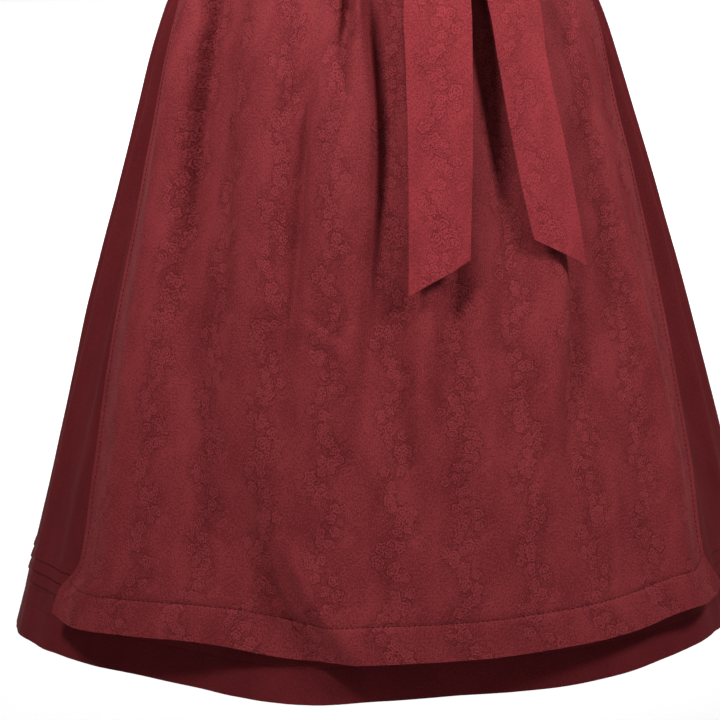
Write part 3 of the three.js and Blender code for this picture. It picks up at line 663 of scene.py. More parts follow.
def skirt_out(angle, down):
    """All that stands out from the form of the skirt, in mm."""
    soft = 0.9 * round_uneven(angle, down, 60, 90, 3) + 0.45 * round_uneven(angle, down, 150, 36, 4)
    hem_pull = 0.35 * trough(down - HEM_STITCH, 0.003, 0.003)
    return (pleat_out(angle, down) + skirt_folds_out(angle, down) + tucks_out(down)
            + soft * smooth(down, 0.02, 0.12) - hem_pull)


# %% [markdown]
# The skirt is cut as a front and a back, sewn at the sides. Rows of points are set close together at
# the tucks, where the form has steps, and evenly elsewhere.

# %% Skirt
SEAM_SHUT = 0.003
TUCK_ROWS = [place for edge in TUCKS
             for place in (edge - TUCK_HIGH, edge - TUCK_HIGH * 0.5, edge, edge + TUCK_STEP)]
SKIRT_ROWS = np.unique(np.round(np.concatenate([
    np.linspace(0.0003, 0.87, 118), TUCK_ROWS, np.linspace(0.935, 1.0, 16)]), 5))


def hem_thickness(down, fold_from):
    """The wall is thicker where the cloth is turned up inside."""
    return CLOTH * (1 + 1.2 * smooth(down, fold_from - 0.002, fold_from + 0.002))


def skirt_panel(node, start, end, columns):
    """Half of the skirt, from side seam to side seam; returns the length of its hem."""
    angle, down = np.meshgrid(np.linspace(start + SEAM_SHUT, end - SEAM_SHUT, columns), SKIRT_ROWS)
    outer = on_form(angle, down, skirt_out(angle, down))
    hem = row_length(outer[-1])
    uv = np.stack([(angle - start) / (end - start) * hem, down * SKIRT_LENGTH], axis=-1)
    cloth_wall(node, outer, uv, dress_cloth, hem_thickness(down, HEM_STITCH))
    return hem


front_hem = skirt_panel("skirt_front", -90, 90, 300)
back_hem = skirt_panel("skirt_back", 90, 270, 330)
print("hem is", round((front_hem + back_hem) / 1000, 2), "m round")

# %% [markdown]
# The apron hangs over the skirt and stands a little off it. Its cloth is gathered under the waistband,
# and the gathers open into long folds that nobody pressed: some lie deep with one steep side, where a
# lobe of cloth leans over them, and some are soft ridges. Each is a line down the cloth with a depth and
# a width to each side, noted at a few heights.

# %% Form of the apron
APRON = table("down right left out edge_out",
              (0.0277, -74, 74, 4.8, 4.8),
              (0.08, -68.5, 71.5, 9.5, 6.0),
              (0.15, -62.5, 67.5, 12, 7.5),
              (0.25, -60.5, 63, 14, 8.5),
              (0.4, -59.6, 61.8, 15, 8.5),
              (0.6, -58.8, 60, 16, 9),
              (0.75, -57, 58.2, 17.5, 10),
              (0.865, -55.6, 55.6, 19, 12),
              (0.905, -59, 57.6, 19.5, 14),
              (0.945, -59.8, 59.6, 20, 15))
HEM_HANGS = table("share down", (0.0, 0.938), (0.05, 0.943), (0.15, 0.937), (0.28, 0.931), (0.38, 0.941),
                  (0.5, 0.9445), (0.65, 0.9415), (0.8, 0.936), (0.9, 0.9265), (0.97, 0.9235), (1.0, 0.913))
APRON_TOP, APRON_HEM = APRON["down"][0], APRON["down"][-1]
BAND_HEIGHT = 34
SEAM = 0.3
FOLD_COLUMNS = "down angle depth before after"
LOBE_COLUMNS = "down left right height soft_left soft_right"
VALLEYS = {
    "right of the first lobe": table(
        FOLD_COLUMNS, (0.05, -49.4, -8, 1.4, 2.2), (0.13, -45.8, -17, 1.3, 2.8), (0.2, -43.8, -17, 1.3, 2.8),
        (0.29, -43.2, -13, 1.6, 3), (0.4, -41.3, -8, 2.2, 3.4), (0.5, -40.1, -4.5, 3, 4),
        (0.6, -38.1, -1.4, 3, 4), (0.7, -37.2, 0, 3, 4)),
    "between these two": table(
        FOLD_COLUMNS, (0.04, -44.5, -2, 4, 4), (0.13, -41, -5.5, 4.4, 4), (0.2, -39.4, -5.5, 4.4, 4),
        (0.29, -38.4, -5, 4.4, 4), (0.4, -37, -3, 5, 4), (0.5, -35.8, -1.5, 5, 4),
        (0.6, -34.5, 0, 5, 4)),
    "left of the broad lobe": table(
        FOLD_COLUMNS, (0.05, -39.5, -8, 2.4, 1.2), (0.13, -36.6, -17, 2.8, 1.2), (0.2, -35.2, -17, 2.8, 1.2),
        (0.29, -33.8, -13, 3.2, 1.5), (0.36, -32.7, -9, 3.6, 2), (0.45, -31.2, -6, 4, 2.6),
        (0.53, -29.9, -2.7, 4, 3), (0.65, -27.1, 0, 4, 3)),
    "small, left of the deepest": table(
        FOLD_COLUMNS, (0.04, -9.5, -7, 2, 1.4), (0.1, -8.9, -14, 2, 1.4), (0.14, -8.4, -14, 2, 1.4),
        (0.19, -9.2, -9, 2.4, 1.7), (0.25, -7.5, -3, 3, 2), (0.3, -6.1, 0, 3, 2)),
    "under the broad lobe": table(
        FOLD_COLUMNS, (0.2, -15.9, 0, 3, 2), (0.26, -15.9, -6, 3.6, 0.9), (0.32, -16.1, -9, 4, 0.9),
        (0.42, -16.4, -9, 4.2, 1), (0.52, -17.3, -7.5, 4.4, 1.4), (0.62, -18, -5, 4.4, 2),
        (0.75, -19, -1.9, 4, 3), (0.85, -19.7, 0, 4, 3)),
    "deepest, steep on its left": table(
        FOLD_COLUMNS, (0.04, -4.3, -5.4, 1.4, 3), (0.125, -2.7, -13.5, 1.4, 4), (0.2, -1.5, -14.2, 1.3, 4.2),
        (0.275, -0.7, -12.8, 1.3, 4.4), (0.35, -1.1, -10.8, 1.4, 4.4), (0.48, -2.6, -7.3, 1.6, 4.4),
        (0.56, -3.8, -4.6, 2, 4.4), (0.64, -4.7, -2.7, 2.4, 4), (0.76, -6.6, 0, 3, 4)),
    "right of the left end's tip": table(
        FOLD_COLUMNS, (0.4, 4.7, 0, 3, 2), (0.47, 4.1, -5.3, 4, 1.3), (0.53, 3.2, -7.6, 4, 1.2),
        (0.6, 2.4, -7.6, 4, 1.2), (0.67, 2.6, -6.9, 4, 1.4), (0.75, 2.8, -4.2, 4, 2), (0.85, 2.8, 0, 4, 3)),
    "broad, under the left end": table(
        FOLD_COLUMNS, (0.38, 15, 0, 4, 3), (0.47, 12.7, -8.6, 4, 2.6), (0.54, 11.3, -9.3, 3.6, 2.4),
        (0.6, 10, -7.4, 3.6, 2.8), (0.7, 8.1, -3.6, 4, 3), (0.82, 6.6, 0, 4, 3)),
    "between the ends": table(
        FOLD_COLUMNS, (0.04, 25.7, -5.4, 3, 3), (0.13, 24.3, -10.8, 3.6, 3.6), (0.28, 24.2, -10.8, 3.6, 4),
        (0.38, 23, -6.8, 3.6, 4), (0.5, 21.7, -4.6, 4, 4), (0.62, 22.5, -2.7, 4, 4), (0.75, 22.5, 0, 4, 4)),
    "under the right end": table(
        FOLD_COLUMNS, (0.36, 37, 0, 2, 4), (0.44, 36.2, -4.8, 1.6, 4), (0.54, 34.7, -6.9, 1.5, 4.4),
        (0.63, 31.4, -6.1, 1.8, 4.6), (0.72, 28.6, -3.3, 2.4, 4.6), (0.82, 27.2, 0, 3, 4)),
    "right side": table(
        FOLD_COLUMNS, (0.04, 46.9, -2.7, 3, 3), (0.14, 45.5, -3, 3.4, 3.4), (0.25, 44.9, -1.6, 3.4, 3.6),
        (0.4, 44.2, -1.6, 4, 4), (0.6, 43.5, -2, 4, 4), (0.8, 42.6, 0, 4, 4)),
    "low, left": table(
        FOLD_COLUMNS, (0.46, -35.3, 0, 4, 4), (0.56, -34, -7, 3.4, 4), (0.66, -33.1, -8, 3.4, 4.4),
        (0.76, -33.1, -6, 4, 4.4), (0.93, -32.7, -2, 4, 4)),
    "low, middle left": table(
        FOLD_COLUMNS, (0.5, -24.3, 0, 3, 3), (0.58, -24, -3, 3, 3), (0.7, -24.4, -4, 4, 3),
        (0.79, -22.4, -10, 8, 2.6), (0.84, -19.5, -11, 8, 2.2), (0.88, -16.4, -11, 8, 1.8),
        (0.91, -13.6, -9, 7.5, 1.8), (0.945, -10.4, -6, 7, 2.4)),
}
RIDGES = {
    "first lobe": table(
        FOLD_COLUMNS, (0.03, -55.1, 3.2, 4, 4), (0.15, -52.7, 6.4, 4.4, 4.4), (0.3, -50, 6.4, 4.6, 4.6),
        (0.5, -48.7, 4.8, 5, 5), (0.75, -47.9, 3.2, 5, 6), (0.945, -47.9, 3.2, 5, 6)),
    "broad lobe, left": table(
        FOLD_COLUMNS, (0.03, -29.5, 3.2, 4, 5), (0.14, -28.9, 7, 3.6, 7), (0.22, -27, 6.4, 4, 7),
        (0.32, -25.1, 3.2, 5, 7), (0.45, -24.3, 0, 5, 7)),
    "broad lobe, right": table(
        FOLD_COLUMNS, (0.14, -9.4, 0, 5, 3), (0.24, -8, 5.8, 5, 3.4), (0.33, -8.2, 7.4, 5, 4),
        (0.42, -9, 5.4, 5, 4), (0.52, -10, 3.8, 5, 4), (0.7, -11.3, 2.9, 5, 5), (0.945, -11.3, 3.2, 6, 6)),
    "beside the small valley": table(
        FOLD_COLUMNS, (0.03, -6, 2, 1.4, 1.4), (0.12, -5.6, 4, 1.5, 1.4), (0.2, -5.2, 2, 2, 1.5),
        (0.26, -5, 0, 2, 2)),
    "narrow, before the left end": table(
        FOLD_COLUMNS, (0.03, 3.4, 1.9, 2, 2), (0.12, 4.1, 7, 2, 2.4), (0.25, 4.3, 6.5, 2, 2.6),
        (0.4, 5.6, 4.6, 3, 3), (0.52, 6.6, 4.2, 2.6, 3), (0.62, 5.3, 4.2, 2.4, 3.4), (0.75, 5.3, 1.9, 3, 3),
        (0.85, 5.6, 0, 3, 3)),
    "broad, under the gap": table(
        FOLD_COLUMNS, (0.4, 17.8, 0, 3, 3), (0.5, 16, 5, 3, 3.6), (0.6, 15, 5.4, 3.4, 4),
        (0.72, 15, 3.8, 4, 5), (0.945, 16.9, 3.1, 7, 7)),
    "right, under the ends": table(
        FOLD_COLUMNS, (0.1, 33.6, 3.8, 4, 4), (0.4, 32.1, 5.8, 4, 3), (0.48, 32.3, 6.5, 4, 2.4),
        (0.56, 30.5, 6.1, 4, 2.2), (0.66, 27.5, 5, 4, 2.6), (0.8, 28.1, 3.1, 6, 5),
        (0.945, 30.8, 3.1, 8, 8)),
    "beside the low fold": table(
        FOLD_COLUMNS, (0.78, -15.5, 0, 2, 5), (0.84, -13, 4, 2, 5.5), (0.9, -8.5, 6.5, 2.4, 5.5),
        (0.945, -5, 5, 3, 5.5)),
    "right crest": table(
        FOLD_COLUMNS, (0.03, 52.5, 3.2, 4, 3), (0.14, 52.1, 7, 5, 2.6), (0.22, 49.1, 7, 5, 2.2),
        (0.35, 49.6, 6.7, 5, 2), (0.55, 50.7, 6.7, 5, 1.7), (0.75, 51.7, 5.8, 5, 1.8),
        (0.87, 50.1, 3.8, 5, 2.4), (0.945, 49.6, 1.6, 5, 4)),
}


LOBES = {
    "first": table(
        LOBE_COLUMNS, (0.03, -75, -48, 2, 4, 1.5), (0.13, -66, -46.6, 6.5, 4, 1.6),
        (0.29, -63, -44.9, 6.5, 4, 1.8), (0.4, -62, -42.8, 4.5, 4, 2.2), (0.5, -62, -41, 2.6, 4, 2.6),
        (0.7, -60, -38, 0, 4, 3)),
    "broad": table(
        LOBE_COLUMNS, (0.03, -38, -6, 2, 1.5, 1.2), (0.13, -35.2, -4, 8, 1.5, 1.1),
        (0.2, -34.6, -2.6, 8.5, 1.5, 1.1), (0.3, -33.6, -1.6, 8, 1.8, 1.1), (0.4, -32, -2.6, 6.5, 2.2, 1.2),
        (0.54, -30, -4.2, 4.5, 2.6, 1.5), (0.66, -28, -5.6, 2.5, 3, 2), (0.8, -26, -7.5, 0, 3, 3)),
}


def lobes_out(angle, down):
    """Lobes of cloth that stand out whole: each rises at its left edge and falls at its right edge, with
    a softness for each side."""
    total = 0
    for lobe in LOBES.values():
        left, right, height = (curve(lobe, name, down) for name in ("left", "right", "height"))
        soft_left, soft_right = curve(lobe, "soft_left", down), curve(lobe, "soft_right", down)
        rise = smooth(angle, left - soft_left, left + soft_left)
        fall = smooth(angle, right - soft_right, right + soft_right)
        total = total + np.maximum(height, 0) * rise * (1 - fall)
    return total * smooth(down, 0.03, 0.09)


def folds_out(folds, angle, down, power):
    """Sum of folds: each is a trough or ridge round its own line, whose place, depth and widths are
    curves down the cloth. It is nothing above its first row and below its last one."""
    total = 0
    for fold in folds.values():
        off = angle - curve(fold, "angle", down)
        shape = trough(off, curve(fold, "before", down), curve(fold, "after", down), power)
        inside = smooth(down, fold["down"][0] - 0.02, fold["down"][0] + 0.02)
        below = 1 - smooth(down, fold["down"][-1], fold["down"][-1] + 0.02) * (fold["down"][-1] < APRON_HEM)
        total = total + curve(fold, "depth", down) * shape * inside * below
    return total


# %% [markdown]
# Where the cloth was pressed against something or pinched while it lay folded, short sharp creases stay:
# a double one that runs slantwise under the broad lobe, and a long one that runs down to the hem.

# %% Short creases
CREASES = table("angle down to_angle to_down depth wide",
                (-15, 0.503, -5.2, 0.55, -0.9, 2.2),
                (-15.4, 0.518, -6.1, 0.563, 0.9, 2.6),
                (-16, 0.535, -7.1, 0.575, -0.8, 2.2),
                (-10.1, 0.165, -22.4, 0.275, -2.6, 6.0),
                (-21.6, 0.797, -15.5, 0.825, -1.2, 2.6),
                (-15.5, 0.828, -10.8, 0.838, 0.9, 2.4),
                (-17.4, 0.82, -12.8, 0.878, -1.6, 4.0),
                (-13.2, 0.874, -7.1, 0.948, -2.2, 3.4),
                (-11.3, 0.866, -4.2, 0.945, 1.6, 6.0),
                (-32.2, 0.78, -25.8, 0.812, -0.8, 3.0),
                (-3.3, 0.378, -5.6, 0.395, -0.9, 2.0),
                (29.9, 0.78, 35, 0.787, -0.7, 1.8),
                (13.1, 0.125, 16.4, 0.14, -0.8, 2.2),
                (-28, 0.4, -22.4, 0.43, -0.5, 4.0),
                (40.8, 0.5, 46.1, 0.54, -0.5, 4.0),
                (18.8, 0.86, 24.4, 0.9, -0.5, 4.0))
MM_PER_DEGREE = (1.7, 2.9)


def creases_out(angle, down):
    """Each crease is a groove along a straight line between two points, that fades at both ends."""
    scale = mix(*MM_PER_DEGREE, down) * 1.6
    total = 0
    for k in range(len(CREASES["angle"])):
        crease = {name: values[k] for name, values in CREASES.items()}
        x = (angle - crease["angle"]) * scale
        y = (down - crease["down"]) * SKIRT_LENGTH
        dx = (crease["to_angle"] - crease["angle"]) * scale
        dy = (crease["to_down"] - crease["down"]) * SKIRT_LENGTH
        length = np.hypot(dx, dy)
        along = (x * dx + y * dy) / length ** 2
        off = (x * dy - y * dx) / length
        fade = smooth(along, -0.15, 0.2) * (1 - smooth(along, 0.75, 1.15))
        total = total + crease["depth"] * fade * trough(off, crease["wide"], crease["wide"], 1.6)
    return total


# %% [markdown]
# The apron's points are given by a share across it and a place down it. Its upper edge is gathered, and
# the small gathers fade out within a hand's width. Each side edge is turned in, so the cloth rolls back
# to the skirt there, and at the corners the stiff hem flares out.

# %% Apron
HEM_FOLD = 0.898
GATHERS = {"count": 23, "angle": 150, "depth": 1.2}
SKIRT_CLEAR = 3.2


def apron_out(angle, down):
    """Height of the apron over the skirt's form: its base, folds, gathers and unevenness. The deepest
    folds rest on the skirt: ln(1 + e^x) rounds off what would go under it."""
    right, left = curve(APRON, "right", down), curve(APRON, "left", down)
    inside = np.minimum(angle - right, left - angle)
    full = smooth(inside, 0, 9)
    base = mix(curve(APRON, "edge_out", down), curve(APRON, "out", down), full)
    folds = (folds_out(VALLEYS, angle, down, 1.5) + folds_out(RIDGES, angle, down, 2.0)
             + lobes_out(angle, down))
    strength = smooth(down, 0.03, 0.06) * (1 - smooth(down, 0.1, 0.24))
    wave = np.cos(angle / GATHERS["angle"] * 2 * np.pi * GATHERS["count"])
    soft = (0.8 * round_uneven(angle, down, 50, 120, 11) + 0.5 * round_uneven(angle, down, 110, 45, 12)
            + 0.22 * round_uneven(angle, down, 230, 22, 13)) * smooth(down, 0.04, 0.15)
    out = base + (folds + GATHERS["depth"] * strength * wave) * mix(0.35, 1, full) + soft
    held = SKIRT_CLEAR + np.logaddexp(0, out - SKIRT_CLEAR)
    return held + creases_out(angle, down)


def apron_point(share, even):
    """Point of the apron at a share across it, on one of its even rows from the top to the hem. The rows
    are stretched to where the hem hangs, and near the top they follow the level edge of the waistband."""
    hem = curve(HEM_HANGS, "down", share)
    down = mix(APRON_TOP, hem, (even - APRON_TOP) / (APRON_HEM - APRON_TOP))
    angle = mix(curve(APRON, "right", down), curve(APRON, "left", down), share)
    level = (BAND_HEIGHT / 2 + 2 * SEAM) / skirt_height(angle) - APRON_TOP
    lifted = down + level * (1 - smooth(down, APRON_TOP, 0.08))
    seam_pull = 0.7 * trough(even - HEM_FOLD, 0.0026, 0.0026)
    return on_form(angle, lifted, apron_out(angle, down) - seam_pull)


rows = np.concatenate([np.linspace(APRON_TOP, APRON_HEM, 164),
                       HEM_FOLD + np.array([-0.0028, -0.0014, 0, 0.0014, 0.0028])])
share, even = np.meshgrid(np.linspace(0, 1, 262), np.sort(rows))
apron_grid = apron_point(share, even)
apron_wide = row_length(apron_grid[-1])
apron_uv = np.stack([(share - 0.5) * apron_wide, even * SKIRT_LENGTH], axis=-1)
cloth_wall("apron_panel", apron_grid, apron_uv, apron_cloth, hem_thickness(even, HEM_FOLD))
print("apron is", round(row_length(apron_grid[0])), "mm wide at its top")
print("and", round(apron_wide), "mm at its hem")

# %% [markdown]
# The waistband is a straight strip that the gathered apron is sewn to, and the two ties are sewn to its
# ends. They go round the back, cross there, and come forward again to the knot. All three follow the
# waist, which opens a little above the waist seam and fast below it. A tie that is pulled tight folds
# along its length, so a few long soft ridges run along it.

# %% Waistband and ties
WAIST_HALF, WAIST_DEPTH = 130, 98
WAIST_SPRING = {"half": 0.12, "front": 0.103, "back": 0.052}
TIE_CLOTH = 1.4
BAND_OUT, BAND_OUT_TOP = 4.8, 5.6
BAND_END = 74
BAND_GAP = 0.15
LAYER = TIE_CLOTH + 2 * SEAM
CROSS_LIFT = 19
CROSS_OUT = 3.4
KNOT_ANGLE = 24


def at_waist(angle, up, out):
    """Point round the waist, so many mm above its seam, moved out; below the seam it is the skirt's form."""
    angle, up, out = np.broadcast_arrays(angle, up, out)
    sine, cosine = np.sin(np.radians(angle)), np.cos(np.radians(angle))
    spring = np.where(cosine > 0, WAIST_SPRING["front"], WAIST_SPRING["back"])
    half = WAIST_HALF + up * WAIST_SPRING["half"] + out
    depth = WAIST_DEPTH + up * spring + out
    above = np.stack([half * sine, -depth * cosine, up.astype(float)], axis=-1)
    below = on_form(angle, np.maximum(-up, 0) / skirt_height(angle), out)
    return np.where((up > 0)[..., None], above, below)


def tie_layer(turned):
    """How far out a tie lies after it has turned so many degrees from centre front: it climbs on the
    other tie behind the back, and both stand a little off where they cross."""
    over = smooth(turned, 166, 194)
    return over * LAYER + tie_crossing(turned) * CROSS_OUT * mix(0.6, 1.4, over)


def tie_crossing(turned):
    """1 where the ties cross behind the back, and 0 at the sides."""
    return smooth(turned, 128, 164) * (1 - smooth(turned, 196, 232))


def tie_point(sign):
    """The surface of a tie as a function of its angle from front and the share down its width."""
    def point(angle, v):
        turned = np.abs(angle)
        up = sign * CROSS_LIFT * tie_crossing(turned) + mix(BAND_HEIGHT / 2, -BAND_HEIGHT / 2, v)
        pulled = 0.5 * np.cos(2 * np.pi * (1.6 * v + 0.25 * np.sin(np.radians(angle))))
        loose = 0.35 * uneven(turned / 9, v * 4, 31)
        rise = (pulled + loose) * np.sin(np.pi * v) * smooth(turned, BAND_END + 4, BAND_END + 20)
        return at_waist(angle, up, mix(BAND_OUT_TOP, BAND_OUT, v) + tie_layer(turned) + rise * 0.7)
    return point


def band_point(angle, v):
    """The waistband, drawn in a little by the gathers that are sewn to its lower edge."""
    pucker = 0.3 * np.cos(angle / GATHERS["angle"] * 2 * np.pi * GATHERS["count"]) * smooth(v, 0.55, 1)
    soft = 0.25 * uneven(angle / 7, v * 3, 32) * np.sin(np.pi * v)
    return at_waist(angle, mix(BAND_HEIGHT / 2, -BAND_HEIGHT / 2, v),
                    mix(BAND_OUT_TOP, BAND_OUT, v) + pucker + soft)


def waist_strip(node, point, start, end, columns):
    """A strip round the waist, between two angles, cut along the warp."""
    angle, v = np.meshgrid(np.linspace(start, end, columns), np.linspace(0, 1, 19))
    outer = point(angle, v)
    long = row_length(outer[len(outer) // 2])
    uv = np.stack([v * BAND_HEIGHT - BAND_HEIGHT / 2, (angle - start) / (end - start) * long], axis=-1)
    cloth_wall(node, outer, uv, apron_cloth)
    return long


waist_strip("apron_waistband", band_point, -BAND_END + BAND_GAP, BAND_END - BAND_GAP, 240)
right_tie = tie_point(-1)
left_tie = tie_point(1)
tie_right_long = waist_strip("tie_right", right_tie, -360 + KNOT_ANGLE + BAND_GAP, -BAND_END - BAND_GAP, 330)
tie_left_long = waist_strip("tie_left", left_tie, BAND_END + BAND_GAP, 360 + KNOT_ANGLE - BAND_GAP, 360)
print("ties show", round(tie_right_long), "and", round(tie_left_long), "mm between waistband and knot")

# %% [markdown]
# The bow is tied at the wearer's left, a little beside the middle. Its knot is a strip pulled tight over
# the ties, which folds lengthwise: a pad with a few grooves round it. Each loop is a strip that leaves
# the knot in front, turns, and comes back behind; its folds start at the knot and open out.

# %% Knot and loops of the bow
KNOT = {"wide": 40, "high": 38, "deep": 17}
KNOT_SEAT = BAND_OUT_TOP + LAYER + 0.2
KNOT_SOFT = {"across": 0.62, "out": 0.8, "up": 0.7}
WAIST_REACH = 118
BOW_MIDDLE = 1
LOOP = {"length": 92, "depth": 11, "droop": 30, "narrow": 24, "wide": 50}
LOOP_TURN = (0.1, 0.9)
LOOP_REACH = 126
LOOP_TUCK = 0.3
LOOP_SEAT = KNOT_SEAT + 1.25 * LOOP["depth"] + 3.5


def soften(x, power):
    """A signed power, which makes a ball's round section squarer."""
    return np.sign(x) * np.abs(x) ** power


def knot_point(turn, rise):
    """The pad of the knot from two angles of a ball, with grooves that run over it from top to bottom."""
    across, out, up = np.cos(rise) * np.sin(turn), np.cos(rise) * np.cos(turn), np.sin(rise)
    x = soften(across, KNOT_SOFT["across"])
    groove = (1.3 * trough(x + 0.42 + 0.12 * up, 0.1, 0.16) + 1.0 * trough(x - 0.05 - 0.2 * up, 0.09, 0.14)
              + 1.2 * trough(x - 0.5 + 0.08 * up, 0.13, 0.09)) * smooth(out, 0.0, 0.35)
    angle = KNOT_ANGLE + np.degrees(x * KNOT["wide"] / 2 / WAIST_REACH)
    return at_waist(angle, BOW_MIDDLE + soften(up, KNOT_SOFT["up"]) * KNOT["high"] / 2,
                    KNOT_SEAT + SEAM + KNOT["deep"] / 2 + soften(out, KNOT_SOFT["out"]) * KNOT["deep"] / 2
                    - groove)


def closed_skin(rings, ends, turned=False):
    """Points and faces of a closed skin: quads between rings of points [ring, round, 3], and a fan of
    triangles to each end. A turned skin has its faces the other way round."""
    index = np.arange(rings.shape[0] * rings.shape[1]).reshape(rings.shape[:2])
    after = np.roll(index, -1, axis=1)
    first, last = index.size, index.size + 1
    faces = np.stack([index[:-1], index[1:], after[1:], after[:-1]], axis=-1).reshape(-1, 4).tolist()
    faces += [[first, int(a), int(b)] for a, b in zip(index[0], after[0])]
    faces += [[last, int(b), int(a)] for a, b in zip(index[-1], after[-1])]
    if turned:
        faces = [face[:1] + face[:0:-1] for face in faces]
    return np.concatenate([rings.reshape(-1, 3), ends]), faces


def knot_piece(columns=96, rows=49):
    """The knot as a closed ball."""
    turn, rise = np.meshgrid(np.linspace(-np.pi, np.pi, columns, endpoint=False),
                             np.linspace(np.pi / 2, -np.pi / 2, rows)[1:-1])
    ring = knot_point(turn, rise)
    ends = knot_point(np.zeros(2), np.array([np.pi / 2, -np.pi / 2]))
    vertices, faces = closed_skin(ring, ends)
    return new_piece("bow_knot", vertices, faces, vertices[:, [0, 2]], apron_cloth)


def loop_point(sign):
    """A loop of the bow: t goes along the strip, from the knot out in front and back behind."""
    start = KNOT_ANGLE + sign * (np.degrees(KNOT["wide"] / 2 / WAIST_REACH) - LOOP_TUCK)

    def point(t, v):
        turn = mix(*LOOP_TURN, t if sign > 0 else 1 - t) * 2 * np.pi
        least = (1 - np.cos(LOOP_TURN[0] * 2 * np.pi)) / 2
        share = np.maximum(0, ((1 - np.cos(turn)) / 2 - least) / (1 - least))
        angle = start + sign * share * np.degrees(LOOP["length"] / LOOP_REACH)
        wide = mix(LOOP["narrow"], LOOP["wide"], np.sqrt(share))
        up = BOW_MIDDLE - LOOP["droop"] * share ** 1.3 + wide * (0.5 - v)
        swell = LOOP["depth"] * np.sin(turn) * (1 - 0.25 * np.cos(2 * np.pi * (v - 0.5)))
        hang = 7 * np.maximum(0, v - 0.35) * share
        pinch = (1 - share) ** 0.8 * smooth(share, 0, 0.06)
        folds = (1.7 * np.cos(2 * np.pi * (2.4 * v + 0.15 * sign)) * pinch
                 + 0.8 * uneven(share * 3 + 5, v * 3 + t, 41) * share)
        return at_waist(angle, up, LOOP_SEAT + swell + hang + folds * np.abs(np.sin(turn)))
    return point


def loop_piece(node, sign):
    """The strip of a loop: it is cut as wide as the tie's full width, and so long."""
    t, v = np.meshgrid(np.linspace(0, 1, 150), np.linspace(0, 1, 33))
    outer = loop_point(sign)(t, v)
    long = row_length(outer[len(outer) // 2])
    uv = np.stack([(v - 0.5) * LOOP["wide"], t * long], axis=-1)
    cloth_wall(node, outer, uv, apron_cloth)
    return long


knot = knot_piece()
loop_long = [loop_piece("bow_loop_outer", 1), loop_piece("bow_loop_inner", -1)]
print("loops are made of", [round(x) for x in loop_long], "mm of tie each")

# %% [markdown]
# Two loose ends hang from the knot over the apron and are cut on the slant. Their cloth is pinched by the
# knot, so short folds run down from there and flatten within a hand's width, and a long end never hangs
# quite flat: it curls a little across its width, first to one side and then to the other.

# %% Loose ends of the bow
END_FORM = table("down inner_right inner_left outer_right outer_left out",
                 (0.029, 14, 23.6, 24.4, 34, 18),
                 (0.06, 8.5, 23.4, 24.6, 38.4, 22),
                 (0.12, 5, 20.9, 24.5, 38.8, 26),
                 (0.2, 4.6, 18.7, 24.4, 36.3, 27.5),
                 (0.3, 4.4, 16.9, 25.2, 36.5, 28.5),
                 (0.39, 4, 15.3, 26.3, 36.7, 29),
                 (0.49, 3.5, 13.8, 28.4, 36.5, 29.5))
END_CUT = {"inner": (0.485, 0.443), "outer": (0.425, 0.466)}
END_TOP = 0.0292
END_WIDE = 54
END_GARLAND = {"inner": 0.5, "outer": 0.3}


def end_point(which):
    """A loose end: u across it and v down it, from the knot to its slanting lower edge."""
    def point(u, v):
        low = mix(*END_CUT[which], u)
        down = mix(END_TOP, low, v)
        right, left = curve(END_FORM, which + "_right", down), curve(END_FORM, which + "_left", down)
        roll = 1.6 * np.sin(2 * np.pi * (u * 0.8 + v * 0.7)) * smooth(v, 0, 0.2)
        pinched = (1 - smooth(down, 0.06, 0.2)) * smooth(down, 0.03, 0.05)
        folds = 1.5 * np.cos(2 * np.pi * (2.6 * u + 0.2)) * pinched
        soft = 0.5 * uneven(u * 2.5 + 3, v * 9, 51 if which == "inner" else 52) * smooth(v, 0.05, 0.3)
        return on_form(mix(right, left, u), down, curve(END_FORM, "out", down) + roll + folds + soft)
    return point


def end_piece(which):
    """The strip of a loose end, with its garland where the cut happened to leave it."""
    u, v = np.meshgrid(np.linspace(0, 1, 64), np.linspace(0, 1, 150))
    outer = end_point(which)(u, v)
    down = mix(END_TOP, mix(*END_CUT[which], u), v) * SKIRT_LENGTH
    uv = np.stack([(u - END_GARLAND[which]) * END_WIDE, down], axis=-1)
    # The loose ends wear the lighter copy of the apron's jacquard, which is painted light.
    return cloth_wall("bow_end_" + which, outer, uv, end_cloth_painted_light)


for which in END_CUT:
    end_piece(which)
print("loose ends reach", [round(max(cut) * SKIRT_LENGTH) for cut in END_CUT.values()], "mm below the waist")

# %% [markdown]
# The bodice has seven panels: two centre fronts, two side fronts, two side backs and a centre back, with
# curved princess seams between them that give it the shape of the bust. Its sections are a general
# figure's. The wearer's right front laps over the left one and is buttoned.

# %% Bodice
BODICE = table("rise up half front back shift",
               (0.0, 0, 130, 98, 98, 0),
               (0.15, 58, 137, 104, 101, 1),
               (0.35, 135, 149, 119, 106, 3),
               (0.5, 193, 155, 127, 109, 5),
               (0.62, 238, 158, 121, 112, 7),
               (0.75, 290, 163, 103, 109, 9),
               (0.86, 337, 169, 81, 96, 11),
               (0.94, 371, 173, 55, 67, 12),
               (0.985, 389, 175, 24, 29, 12),
               (1.0, 394, 175, 0.2, 0.2, 12))
OUTLINE = table("angle front back",
                (0, 0.6, 0.8), (12, 0.604, 0.804), (20, 0.62, 0.815), (24.5, 0.67, 0.85), (27, 1.0, 1.0),
                (34, 1.0, 1.0), (41, 1.0, 1.0), (43.5, 0.8, 0.84), (46, 0.72, 0.76), (54, 0.62, 0.65),
                (66, 0.55, 0.565), (78, 0.525, 0.53), (90, 0.52, 0.52))
PRINCESS = 46
SEAM_ANGLE = 0.01
CLOSE_COLUMNS = np.concatenate([np.linspace(18, 27, 13), np.linspace(41, 52, 13)])
BUST = {"angle": 33, "wide": 17, "rise": 0.5, "high": 0.14, "depth": 11}
OVERLAP, LAP_OVER, LAP_UNDER, LAP_START = 2.4, 6, 4, 8
WAIST_GAP = 0.0004


